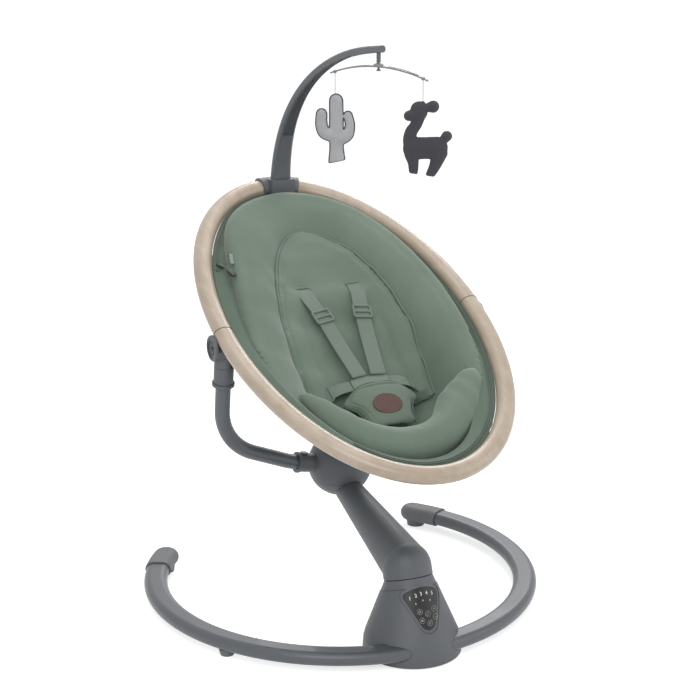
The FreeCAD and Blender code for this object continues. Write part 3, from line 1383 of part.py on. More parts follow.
# ================================================================ all parts
def build_parts():
    parts = {}
    both_sides(parts, "hoop_tube", make_hoop_tube())
    both_sides(parts, "hoop_end_cap", make_end_cap())
    foot = make_mid_foot()
    parts["hoop_mid_feet"] = Part.makeCompound([foot, mirrored(foot)])
    parts["housing_shell"] = make_housing_shell()
    parts["housing_collar"] = make_housing_collar()
    parts["control_panel"] = make_control_panel()
    parts["circuit_board"] = make_circuit_board()
    parts["housing_base_plate"] = make_base_plate()
    parts["housing_pads"] = make_base_pads()
    parts["power_inlet"] = make_power_inlet()
    parts["core_bracket"] = make_core_bracket()
    parts["spindle_bearings"] = make_bearings()
    parts["drive_coil"] = make_drive_coil()
    parts["drive_magnet"] = make_drive_magnet()
    parts["swing_spindle"] = make_swing_spindle()
    parts["neck_shell"] = make_neck_shell()
    parts["hub_cover"] = make_hub_cover()
    parts["hub_bracket"] = make_hub_bracket()
    both_sides(parts, "lock_button", make_lock_button())
    both_sides(parts, "side_arm", make_side_arm())
    both_sides(parts, "arm_sleeve", make_arm_sleeve())
    both_sides(parts, "pivot_housing", make_pivot_housing())
    both_sides(parts, "recline_button", make_recline_button())
    parts["pivot_pins"] = make_pivot_pins()
    parts["pivot_lugs"] = make_pivot_lugs()
    parts["seat_ring_head"] = make_ring_half(True)
    parts["seat_ring_foot"] = make_ring_half(False)
    parts["ring_plugs"] = make_ring_plugs()
    parts["seat_shell"] = make_seat_shell()
    parts["zip_band"] = make_zip_band()
    parts["seat_pad"] = make_seat_pad()
    parts["inner_insert"] = make_insert()
    parts["foot_bolster"] = make_foot_bolster(parts["seat_pad"])
    parts["crotch_pad"] = make_crotch_pad()
    cushions = [parts["seat_pad"], parts["inner_insert"], parts["crotch_pad"]]
    parts["buckle"] = make_buckle(parts["crotch_pad"])
    cushions.append(parts["buckle"])
    for side, mirror in (("right", False), ("left", True)):
        parts["shoulder_strap_" + side] = laid_strap(SHOULDER_RUN, STRAP_WIDTH, cushions, mirror)
        parts["hip_strap_" + side] = laid_strap(HIP_RUN, STRAP_WIDTH - 3, cushions, mirror)
    parts["strap_adjusters"] = make_adjusters(0.36)
    parts["crotch_strap"] = laid_strap(CROTCH_RUN, STRAP_WIDTH, cushions)
    parts["badge"] = make_badge(parts["crotch_pad"])
    parts["zip_slider"] = make_zip_slider()
    parts["zip_toggle"] = make_zip_toggle()
    parts["toy_arm_clamp"] = make_toy_arm_clamp()
    parts["toy_arm"] = make_toy_arm()
    parts["hanger_pin"] = make_hanger_pin()
    parts["mobile_bar"] = make_mobile_bar()
    parts["string_left"] = make_string(-1)
    parts["string_right"] = make_string(1)
    parts["cactus_toy"] = make_cactus()
    parts["llama_toy"] = make_llama()
    return parts


def main():
    os.makedirs("parts", exist_ok=True)
    parts = build_parts()
    for name, shape in parts.items():
        shape.exportStep("parts/" + name + ".step")
        print(name, len(shape.Solids), round(shape.Volume / 1000, 2), shape.isValid())
    print(len(parts), "parts")


main()
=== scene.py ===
"""A baby swing dressed over its fixed frame: finishes, soft goods, harness, panel prints and studio."""
from __future__ import annotations

import logging
import math
from dataclasses import dataclass
from enum import Enum
from typing import Callable, Sequence

import bmesh
import bpy
import numpy as np
from mathutils import Matrix, Vector


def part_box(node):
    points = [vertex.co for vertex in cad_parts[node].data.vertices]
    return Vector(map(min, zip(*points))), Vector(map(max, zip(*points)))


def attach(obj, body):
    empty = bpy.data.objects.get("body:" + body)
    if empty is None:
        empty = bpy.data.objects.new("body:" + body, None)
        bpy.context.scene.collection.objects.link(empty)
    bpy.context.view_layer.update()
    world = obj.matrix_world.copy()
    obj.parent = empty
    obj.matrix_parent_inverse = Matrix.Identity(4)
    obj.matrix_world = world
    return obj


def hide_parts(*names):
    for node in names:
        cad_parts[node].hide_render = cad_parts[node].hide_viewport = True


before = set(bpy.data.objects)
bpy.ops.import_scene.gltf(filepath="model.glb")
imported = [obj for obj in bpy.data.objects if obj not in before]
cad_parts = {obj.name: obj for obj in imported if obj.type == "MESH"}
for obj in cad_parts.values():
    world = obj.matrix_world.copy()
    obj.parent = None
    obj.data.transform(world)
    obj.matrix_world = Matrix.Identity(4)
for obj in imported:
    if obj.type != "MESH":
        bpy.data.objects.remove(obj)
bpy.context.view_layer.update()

LOG = logging.getLogger("baby_swing")
MM = 0.001
Colour = tuple[float, float, float]
Array = np.ndarray


class Coordinates(Enum):
    """What a finish's pattern is laid on."""

    OBJECT = "Object"
    UV = "UV"


class Side(Enum):
    """A side of the seat, as the sign of its x."""

    RIGHT = 1
    LEFT = -1

    @property
    def word(self) -> str:
        """The side as the pieces' names have it."""
        return self.name.lower()


# ============================================================ shader building
class Signal:
    """One shader socket; arithmetic on it adds the Math nodes that work it out."""

    def __init__(self, shader: "Shader", socket: bpy.types.NodeSocket) -> None:
        """Wraps a socket of a shader's node tree."""
        self.shader = shader
        self.socket = socket

    def math(self, operation: str, *others: "Signal | float",
             first: "Signal | float | None" = None) -> "Signal":
        """Adds one Math node.

        Args:
            operation: the node's operation.
            others: the inputs after this one.
            first: an input that goes before this one.

        Returns:
            The node's result.
        """
        values = [self, *others] if first is None else [first, self]
        node = self.shader.node("ShaderNodeMath", {"operation": operation}, dict(enumerate(values)))
        return Signal(self.shader, node.outputs[0])

    def __add__(self, other: "Signal | float") -> "Signal":
        """This plus other."""
        return self.math("ADD", other)

    __radd__ = __add__

    def __sub__(self, other: "Signal | float") -> "Signal":
        """This minus other."""
        return self.math("SUBTRACT", other)

    def __rsub__(self, other: "Signal | float") -> "Signal":
        """Other minus this."""
        return self.math("SUBTRACT", first=other)

    def __mul__(self, other: "Signal | float") -> "Signal":
        """This times other."""
        return self.math("MULTIPLY", other)

    __rmul__ = __mul__

    def __truediv__(self, other: "Signal | float") -> "Signal":
        """This divided by other."""
        return self.math("DIVIDE", other)

    def __rtruediv__(self, other: "Signal | float") -> "Signal":
        """Other divided by this."""
        return self.math("DIVIDE", first=other)

    def sine(self) -> "Signal":
        """The sine of this."""
        return self.math("SINE")

    def size(self) -> "Signal":
        """This without its sign."""
        return self.math("ABSOLUTE")

    def step(self, low: float, high: float) -> "Signal":
        """A smooth step from 0 at low to 1 at high."""
        node = self.shader.node(
            "ShaderNodeMapRange", {"interpolation_type": "SMOOTHSTEP"},
            {"Value": self, "From Min": low, "From Max": high},
        )
        return Signal(self.shader, node.outputs[0])


class Shader:
    """A material with one Principled shader and the nodes that feed it."""

    def __init__(self, name: str) -> None:
        """Starts an empty node tree with its output and its Principled shader."""
        self.material = bpy.data.materials.new(name)
        self.material.use_nodes = True
        self.tree = self.material.node_tree
        self.tree.nodes.clear()
        self.surface = self.node("ShaderNodeBsdfPrincipled", {}, {})
        self.node("ShaderNodeOutputMaterial", {}, {"Surface": self.surface.outputs[0]})

    def node(self, kind: str, settings: dict, inputs: dict) -> bpy.types.Node:
        """Adds a node of any kind.

        Args:
            kind: the node's type.
            settings: its settings, set before the inputs; "stops" holds a ramp's (place, colour) pairs.
            inputs: socket name or number, with the value, signal or socket that goes in.

        Returns:
            The new node.
        """
        node = self.tree.nodes.new(kind)
        for key, value in settings.items():
            if key == "stops":
                ramp = node.color_ramp
                while len(ramp.elements) < len(value):
                    ramp.elements.new(0.5)
                for element, (place, colour) in zip(ramp.elements, value):
                    element.position = place
                    element.color = (*colour, 1.0)
            else:
                setattr(node, key, value)
        for key, value in inputs.items():
            if isinstance(value, Signal):
                self.tree.links.new(value.socket, node.inputs[key])
            elif isinstance(value, bpy.types.NodeSocket):
                self.tree.links.new(value, node.inputs[key])
            else:
                node.inputs[key].default_value = value
        return node

    def place(self, kind: Coordinates = Coordinates.OBJECT) -> bpy.types.NodeSocket:
        """The texture coordinate of that kind."""
        return self.node("ShaderNodeTexCoord", {}, {}).outputs[kind.value]

    def part(self, vector: bpy.types.NodeSocket, axis: int) -> Signal:
        """One component of a vector."""
        return Signal(self, self.node("ShaderNodeSeparateXYZ", {}, {0: vector}).outputs[axis])

    def noise(self, scale: float, detail: float = 2.0, vector: bpy.types.NodeSocket | None = None) -> Signal:
        """Noise from 0 to 1 on Object coordinates, or on another vector."""
        where = vector if vector is not None else self.place()
        node = self.node("ShaderNodeTexNoise", {}, {"Vector": where, "Scale": scale, "Detail": detail})
        return Signal(self, node.outputs[0])

    def cells(self, scale: float, vector: bpy.types.NodeSocket | None = None) -> Signal:
        """Distance to the nearest of many scattered points."""
        where = vector if vector is not None else self.place()
        node = self.node("ShaderNodeTexVoronoi", {}, {"Vector": where, "Scale": scale})
        return Signal(self, node.outputs["Distance"])

    def blend(self, share: Signal, low: Colour, high: "Colour | Signal") -> Signal:
        """A colour between low and high, which may itself vary."""
        most = high if isinstance(high, Signal) else (*high, 1.0)
        node = self.node("ShaderNodeMix", {"data_type": "RGBA"}, {0: share, 6: (*low, 1.0), 7: most})
        return Signal(self, node.outputs[2])

    def mottled(self, share: Signal, colour: Colour, darkest: float, lightest: float = 1.0) -> Signal:
        """One colour between a darker and a lighter tone of itself."""
        return self.blend(share, scaled(colour, darkest), scaled(colour, lightest))

    def relief(self, height: Signal, depth: float, softened: bool = False) -> None:
        """Feeds a bump of the given depth in metres into the surface's normal.

        Args:
            height: the relief, from 0 to 1.
            depth: how deep a height of 1 is.
            softened: also rounds the sharp edges of a moulded piece in the shading.
        """
        inputs = {"Height": height, "Distance": depth, "Strength": 1.0}
        if softened:
            edge = self.node("ShaderNodeBevel", {"samples": 4}, {"Radius": 0.6 * MM})
            inputs["Normal"] = edge.outputs[0]
        bump = self.node("ShaderNodeBump", {}, inputs)
        self.tree.links.new(bump.outputs[0], self.surface.inputs["Normal"])

    def feed(self, **values: "Signal | float | tuple") -> None:
        """Sets or links the surface's sockets, named with underscores for spaces."""
        for name, value in values.items():
            socket = self.surface.inputs[name.replace("_", " ")]
            if isinstance(value, Signal):
                self.tree.links.new(value.socket, socket)
            else:
                socket.default_value = (*value, 1.0) if isinstance(value, tuple) else value


def scaled(colour: Colour, factor: float) -> Colour:
    """A colour made lighter or darker."""
    return tuple(min(c * factor, 1.0) for c in colour)


# ============================================================ finishes
@dataclass(frozen=True)
class Moulding:
    """Moulded plastic or powder coat: fine grain, faint mottling and softened edges."""

    name: str
    colour: Colour
    roughness: float = 0.5
    grain: float = 2600.0
    depth: float = 0.03 * MM
    mottle: float = 0.06
    coat: float = 0.0
    metallic: float = 0.0

    def make(self) -> bpy.types.Material:
        """Builds the material."""
        shader = Shader(self.name)
        broad = shader.noise(14.0, 4.0)
        fine = shader.noise(self.grain, 2.0)
        wear = shader.noise(90.0, 5.0)
        tone = (broad * 0.6 + wear * 0.4).step(0.3, 0.7)
        colour = shader.mottled(tone, self.colour, 1 - self.mottle, 1 + self.mottle)
        shader.feed(
            Base_Color=colour, Metallic=self.metallic, Coat_Weight=self.coat,
            Roughness=self.roughness + (fine - 0.5) * 0.12 + (wear - 0.5) * 0.08,
        )
        shader.relief(fine, self.depth, softened=True)
        return shader.material


@dataclass(frozen=True)
class RingCoat:
    """Satin beige coat of the seat ring, with faint long streaks and a pearly sheen."""

    name: str
    colour: Colour
    pale: Colour

    def make(self) -> bpy.types.Material:
        """Builds the material: streaks follow the ring because they stretch along its length."""
        shader = Shader(self.name)
        stretched = shader.node(
            "ShaderNodeMapping", {}, {"Vector": shader.place(), "Scale": (70.0, 9.0, 60.0)}
        ).outputs[0]
        streak = shader.noise(1.0, 5.0, stretched)
        cloud = shader.noise(7.0, 3.0)
        fine = shader.noise(1800.0, 2.0)
        tone = (streak * 0.55 + cloud * 0.45).step(0.36, 0.66)
        shader.feed(
            Base_Color=shader.blend(tone, self.colour, self.pale),
            Roughness=0.34 + (streak - 0.5) * 0.16 + (fine - 0.5) * 0.06,
            Coat_Weight=0.35, Coat_Roughness=0.25,
        )
        shader.relief(streak * 0.5 + fine * 0.5, 0.035 * MM, softened=True)
        return shader.material


@dataclass(frozen=True)
class Jersey:
    """Knitted fabric: rows of fine loops, a soft nap, gentle mottling and sheen."""

    name: str
    colour: Colour
    loop: float = 0.9 * MM
    depth: float = 0.14 * MM
    sheen: float = 0.35

    def make(self) -> bpy.types.Material:
        """Builds the material: two crossed ripples of one loop's pitch make the knit."""
        shader = Shader(self.name)
        where = shader.place()
        pitch = 2 * math.pi / self.loop
        warp = shader.noise(60.0, 3.0)
        rows = ((shader.part(where, 0) + shader.part(where, 2) * 0.35) * pitch + warp * 2.0).sine()
        lines = ((shader.part(where, 1) * 0.8 + shader.part(where, 2) * 0.6) * pitch + warp * 2.0).sine()
        knit = (rows * lines + 1.0) * 0.5
        nap = shader.noise(900.0, 4.0)
        broad = shader.noise(11.0, 4.0)
        tone = (broad * 0.55 + knit * 0.25 + nap * 0.2).step(0.3, 0.72)
        shader.feed(
            Base_Color=shader.mottled(tone, self.colour, 0.88, 1.1),
            Roughness=0.82 + (nap - 0.5) * 0.16, Sheen_Weight=self.sheen,
            Sheen_Roughness=0.5, Specular_IOR_Level=0.25,
        )
        creases = shader.noise(34.0, 4.0)
        shader.relief(knit * 0.5 + nap * 0.3 + creases * 1.6, self.depth)
        return shader.material


@dataclass(frozen=True)
class Weave:
    """Woven webbing: ribs along and across the strap, on its UV map."""

    name: str
    colour: Colour
    rib: float = 1.3 * MM

    def make(self) -> bpy.types.Material:
        """Builds the material: ribs along the run crossed by fine ends across it."""
        shader = Shader(self.name)
        uv = shader.place(Coordinates.UV)
        along = shader.part(uv, 1) * (2 * math.pi / self.rib)
        across = shader.part(uv, 0) * (2 * math.pi / (0.9 * MM))
        ribs = (along.sine() * across.sine() + 1.0) * 0.5
        nap = shader.noise(1200.0, 3.0)
        tone = ribs * 0.5 + nap * 0.5
        shader.feed(
            Base_Color=shader.mottled(tone, self.colour, 0.82, 1.16),
            Roughness=0.7 + (nap - 0.5) * 0.2, Sheen_Weight=0.25, Specular_IOR_Level=0.35,
        )
        shader.relief(ribs * 0.8 + nap * 0.2, 0.16 * MM)
        return shader.material


@dataclass(frozen=True)
class Hide:
    """Smooth leather-look patch with a fine pebble grain."""

    name: str
    colour: Colour

    def make(self) -> bpy.types.Material:
        """Builds the material."""
        shader = Shader(self.name)
        pebble = shader.cells(1500.0)
        cloud = shader.noise(120.0, 4.0)
        shader.feed(
            Base_Color=shader.mottled(cloud.step(0.3, 0.7), self.colour, 0.82, 1.15),
            Roughness=0.55 + (cloud - 0.5) * 0.2,
        )
        shader.relief(pebble * 0.7 + cloud * 0.3, 0.08 * MM)
        return shader.material


@dataclass(frozen=True)
class Turned:
    """Bare metal with fine marks of turning or casting."""

    name: str
    colour: Colour
    roughness: float = 0.32

    def make(self) -> bpy.types.Material:
        """Builds the material."""
        shader = Shader(self.name)
        rings = (shader.part(shader.place(), 2) * 9000.0).sine()
        cloud = shader.noise(160.0, 4.0)
        shader.feed(
            Base_Color=shader.mottled(cloud, self.colour, 0.85), Metallic=1.0,
            Roughness=self.roughness + (cloud - 0.5) * 0.2,
        )
        shader.relief(rings * 0.1 + cloud, 0.02 * MM, softened=True)
        return shader.material


@dataclass(frozen=True)
class Print:
    """Pale printed ink on the panel, a little worn."""

    name: str
    colour: Colour

    def make(self) -> bpy.types.Material:
        """Builds the material."""
        shader = Shader(self.name)
        wear = shader.noise(700.0, 3.0)
        shader.feed(Base_Color=shader.mottled(wear, self.colour, 0.9), Roughness=0.5 + (wear - 0.5) * 0.1)
        return shader.material


@dataclass(frozen=True)
class PipedKnit:
    """Two-colour knit of the cactus toy: the piping round its middle plane is darker."""

    name: str
    colour: Colour
    seam: Colour
    origin: tuple[float, float, float]
    normal: tuple[float, float, float]
    half: float = 0.9 * MM

    def make(self) -> bpy.types.Material:
        """Builds the material: distance from the middle plane picks the colour."""
        shader = Shader(self.name)
        where = shader.place()
        away = sum((shader.part(where, axis) - self.origin[axis]) * self.normal[axis] for axis in range(3))
        nap = shader.noise(1000.0, 4.0)
        cloud = shader.noise(50.0, 3.0)
        tone = (cloud * 0.5 + nap * 0.5).step(0.3, 0.7)
        body = shader.mottled(tone, self.colour, 0.88, 1.12)
        outside = (away.size() / self.half).step(0.9, 1.25)
        shader.feed(
            Base_Color=shader.blend(outside, self.seam, body), Roughness=0.85 + (nap - 0.5) * 0.1,
            Sheen_Weight=0.3, Specular_IOR_Level=0.25,
        )
        shader.relief(nap * 0.6 + cloud, 0.12 * MM)
        return shader.material


# ============================================================ surfaces
def to_object(name: str, points: Array, faces: Array, uv: Array | None = None) -> bpy.types.Object:
    """Makes a smooth-shaded mesh object of points and quads.

    Args:
        name: the piece's name.
        points: n by 3, in metres.
        faces: m by 4 point numbers.
        uv: one place on the piece's own map for each point.

    Returns:
        The new object, at the origin.
    """
    mesh = bpy.data.meshes.new(name)
    mesh.from_pydata(points.reshape(-1, 3).tolist(), [], faces.reshape(-1, 4).tolist())
    if uv is not None:
        corners = np.empty(len(mesh.loops), dtype=np.int32)
        mesh.loops.foreach_get("vertex_index", corners)
        mesh.uv_layers.new(name="UVMap").data.foreach_set("uv", uv.reshape(-1, 2)[corners].ravel())
    mesh.polygons.foreach_set("use_smooth", np.ones(len(mesh.polygons), dtype=bool))
    mesh.update()
    piece = bpy.data.objects.new(name, mesh)
    bpy.context.scene.collection.objects.link(piece)
    return piece


def quads(rows: int, columns: int, wrap_rows: bool = False, wrap_columns: bool = False) -> Array:
    """Point numbers of the quads of a grid, whose rows or columns may close on themselves."""
    i = np.arange(rows if wrap_rows else rows - 1)[:, None]
    j = np.arange(columns if wrap_columns else columns - 1)[None, :]
    down, right = (i + 1) % rows, (j + 1) % columns
    return np.stack([i * columns + j, i * columns + right, down * columns + right, down * columns + j], -1)


def surface(name: str, points: Array, wrap_rows: bool = False,
            wrap_columns: bool = False) -> bpy.types.Object:
    """Makes an object of a grid of points, with a map in metres along its rows and columns."""
    rows, columns = points.shape[:2]
    down = np.linalg.norm(np.diff(points, axis=0), axis=-1).mean(axis=1)
    right = np.linalg.norm(np.diff(points, axis=1), axis=-1).mean(axis=0)
    v, u = np.meshgrid(np.r_[0, np.cumsum(down)], np.r_[0, np.cumsum(right)], indexing="ij")
    return to_object(name, points, quads(rows, columns, wrap_rows, wrap_columns), np.stack([u, v], -1))


def tidy(piece: bpy.types.Object, merge: float = 0.02 * MM, least: float = 1e-13) -> bpy.types.Object:
    """Merges doubled points, drops faces under the least area and turns the rest outwards."""
    work = bmesh.new()
    work.from_mesh(piece.data)
    bmesh.ops.remove_doubles(work, verts=work.verts, dist=merge)
    loose = [f for f in work.faces if f.calc_area() < least]
    bmesh.ops.delete(work, geom=loose, context="FACES")
    bmesh.ops.recalc_face_normals(work, faces=work.faces)
    work.to_mesh(piece.data)
    work.free()
    return piece


def joined(name: str, pieces: Sequence[bpy.types.Object]) -> bpy.types.Object:
    """Joins pieces into one, named for the first use."""
    bpy.ops.object.select_all(action="DESELECT")
    for piece in pieces:
        piece.select_set(True)
    bpy.context.view_layer.objects.active = pieces[0]
    bpy.ops.object.join()
    pieces[0].name = name
    pieces[0].data.name = name
    return pieces[0]


def applied(piece: bpy.types.Object) -> bpy.types.Object:
    """Applies a piece's modifiers to its mesh."""
    graph = bpy.context.evaluated_depsgraph_get()
    mesh = bpy.data.meshes.new_from_object(piece.evaluated_get(graph))
    piece.modifiers.clear()
    piece.data = mesh
    return piece


def along(path: Array, up: Array) -> tuple[Array, Array, Array]:
    """Unit vectors at each point of a path: ahead, to its side and over it."""
    ahead = np.gradient(path, axis=0)
    ahead /= np.linalg.norm(ahead, axis=1, keepdims=True)
    side = np.cross(ahead, up)
    side /= np.linalg.norm(side, axis=1, keepdims=True)
    return ahead, side, np.cross(side, ahead)


def smooth_path(knots: Sequence[Sequence[float]], count: int) -> Array:
    """A smooth path through knots: cubic Hermite arcs with chord-based slopes.

    Args:
        knots: the points that it passes.
        count: points of the result.

    Returns:
        count points, evenly spread in the knots' own parameter.
    """
    knot = np.asarray(knots, float)
    steps = np.r_[0, np.cumsum(np.linalg.norm(np.diff(knot, axis=0), axis=1))]
    slope = np.gradient(knot, steps, axis=0)
    t = np.linspace(0, steps[-1], count)
    i = np.clip(np.searchsorted(steps, t, side="right") - 1, 0, len(steps) - 2)
    width = (steps[i + 1] - steps[i])[:, None]
    s = (t - steps[i])[:, None] / width
    return (
        (2 * s**3 - 3 * s**2 + 1) * knot[i] + (s**3 - 2 * s**2 + s) * width * slope[i]
        + (-2 * s**3 + 3 * s**2) * knot[i + 1] + (s**3 - s**2) * width * slope[i + 1]
    )


def tube(name: str, path: Array, radius: float | Array, up: Sequence[float] = (0.31, 0.17, 0.93),
         sides: int = 10, flat: float = 1.0, closed: bool = False) -> bpy.types.Object:
    """A round or oval tube: each point of the path plus a circle across it, with rounded-off ends.

    Args:
        name: the piece's name.
        path: its centre line.
        radius: one radius, or one for each point of the path.
        up: a direction that the path never takes.
        sides: points round it.
        flat: its height as a share of its width.
        closed: the path runs back into its start.

    Returns:
        The tube.
    """
    line = np.vstack([path[-1:], path, path[:1]]) if closed else path
    _, side, over = along(line, np.asarray(up, float))
    if closed:
        side, over = side[1:-1], over[1:-1]
    turn = np.linspace(0, 2 * np.pi, sides, endpoint=False)
    size = np.broadcast_to(np.asarray(radius, float), (len(path),))[:, None, None]
    ring = np.cos(turn)[None, :, None] * side[:, None] + np.sin(turn)[None, :, None] * over[:, None] * flat
    points = path[:, None] + ring * size
    if not closed:
        ends = [np.broadcast_to(p, (1, sides, 3)) for p in (path[0], path[-1])]
        points = np.concatenate([ends[0], points, ends[1]])
    return tidy(surface(name, points, wrap_rows=closed, wrap_columns=True))


@dataclass(frozen=True)
class Puff:
    """Blows padded pieces up a little with a cloth simulation, as stuffing does.

    A point moves by cap at the furthest.
    """

    voxel: float
    cap: float
    pressure: float = 4.0
    frames: int = 20

    def __call__(self, piece: bpy.types.Object,
                 freedom: Callable[[Array], Array] | None = None) -> bpy.types.Object:
        """Remeshes a closed piece, inflates it and subdivides it once.

        Args:
            piece: the closed mesh.
            freedom: gives each point's share of the movement, from 0 to 1.

        Returns:
            The same object with its new mesh.
        """
        remesh = piece.modifiers.new("even", "REMESH")
        remesh.mode = "VOXEL"
        remesh.voxel_size = self.voxel
        remesh.use_smooth_shade = True
        applied(piece)
        mesh = piece.data
        rest = np.empty(len(mesh.vertices) * 3)
        mesh.vertices.foreach_get("co", rest)
        rest = rest.reshape(-1, 3)
        cloth = piece.modifiers.new("puff", "CLOTH")
        cloth.settings.use_pressure = True
        cloth.settings.uniform_pressure_force = self.pressure
        cloth.settings.effector_weights.gravity = 0
        cloth.point_cache.frame_start = 1
        cloth.point_cache.frame_end = self.frames
        for number in range(1, self.frames + 1):
            bpy.context.scene.frame_set(number)
        applied(piece)
        bpy.context.scene.frame_set(1)
        mesh = piece.data
        blown = np.empty(len(mesh.vertices) * 3)
        mesh.vertices.foreach_get("co", blown)
        move = blown.reshape(-1, 3) - rest
        far = np.linalg.norm(move, axis=1, keepdims=True)
        move *= np.minimum(1.0, self.cap / np.maximum(far, 1e-9))
        if freedom is not None:
            move *= freedom(rest)[:, None]
        mesh.vertices.foreach_set("co", (rest + move).ravel())
        mesh.update()
        finer = piece.modifiers.new("fine", "SUBSURF")
        finer.levels = finer.render_levels = 1
        return applied(piece)


def shaped(piece: bpy.types.Object, change: Callable[[Array, Array], Array]) -> bpy.types.Object:
    """Moves a piece's points.

    Args:
        piece: the mesh object.
        change: gives the new points from the points and their normals.

    Returns:
        The same piece.
    """
    mesh = piece.data
    place = np.empty(len(mesh.vertices) * 3)
    normal = np.empty(len(mesh.vertices) * 3)
    mesh.vertices.foreach_get("co", place)
    mesh.vertices.foreach_get("normal", normal)
    mesh.vertices.foreach_set("co", change(place.reshape(-1, 3), normal.reshape(-1, 3)).ravel())
    mesh.update()
    return piece


def bump(x: Array, centre: float, width: float) -> Array:
    """A smooth hump of height 1: a Gaussian round centre."""
    return np.exp(-(((x - centre) / width) ** 2))


def eased(x: Array, low: float, high: float) -> Array:
    """A smooth step from 0 at low to 1 at high."""
    t = np.clip((x - low) / (high - low), 0, 1)
    return t * t * (3 - 2 * t)


def wrinkle(points: Array, scale: float, seed: int, octaves: int = 5) -> Array:
    """Soft random folds round nil: sines in turned directions, each octave shorter and weaker."""
    total = np.zeros(len(points))
    rng = np.random.default_rng(seed)
    for octave in range(octaves):
        heading = rng.normal(size=3)
        heading *= 2 * np.pi * (1.0 + 0.6 * octave) / (scale * np.linalg.norm(heading))
        total += np.sin(points @ heading + rng.uniform(0, 6.28)) / (1 + octave * 0.5)
    return total / 3.0


def melted(piece: bpy.types.Object, voxel: float, rounds: int = 4) -> bpy.types.Object:
    """Joins the skins of a piece's crossing parts with a remesh and rounds the corners between them."""
    remesh = piece.modifiers.new("melt", "REMESH")
    remesh.mode = "VOXEL"
    remesh.voxel_size = voxel
    remesh.use_smooth_shade = True
    soften = piece.modifiers.new("soften", "SMOOTH")
    soften.iterations = rounds
    return applied(piece)


# ============================================================ the seat's own frame
@dataclass
class SeatFrame:
    """Places (x, v, w) given in the ring's plane: across, towards the head end, and over it."""

    centre: float = 470.7 * MM
    tilt: float = math.radians(25.45)
    ring_x: float = 213.2 * MM
    ring_v: float = 351.7 * MM
    ring_breadth: float = 30.0 * MM
    liner: float = 22.5 * MM

    def place(self, x: Array | float, v: Array | float, w: Array | float) -> Array:
        """Turns seat coordinates into the object's."""
        x, v, w = np.broadcast_arrays(np.asarray(x, float), v, w)
        c, s = math.cos(self.tilt), math.sin(self.tilt)
        return np.stack([x, v * c - w * s, self.centre + v * s + w * c], -1)

    def local(self, points: Array) -> Array:
        """Turns points of the object into seat coordinates."""
        c, s = math.cos(self.tilt), math.sin(self.tilt)
        y, z = points[..., 1], points[..., 2] - self.centre
        return np.stack([points[..., 0], y * c + z * s, -y * s + z * c], -1)

    @property
    def over(self) -> Array:
        """The direction over the ring's plane."""
        return np.array([0.0, -math.sin(self.tilt), math.cos(self.tilt)])

    @property
    def pad_x(self) -> float:
        """Half width of the pad."""
        return self.ring_x - self.ring_breadth / 2 - self.liner

    @property
    def pad_v(self) -> float:
        """Half length of the pad."""
        return self.ring_v - self.ring_breadth / 2 - self.liner

    def oval(self, turn: Array, inset: float) -> tuple[Array, Array]:
        """A point of the ring's inner edge moved inwards, for angles from the right side."""
        half_x = self.ring_x - self.ring_breadth / 2 - inset
        half_v = self.ring_v - self.ring_breadth / 2 - inset
        return half_x * np.cos(turn), half_v * np.sin(turn)


SEAT = SeatFrame()


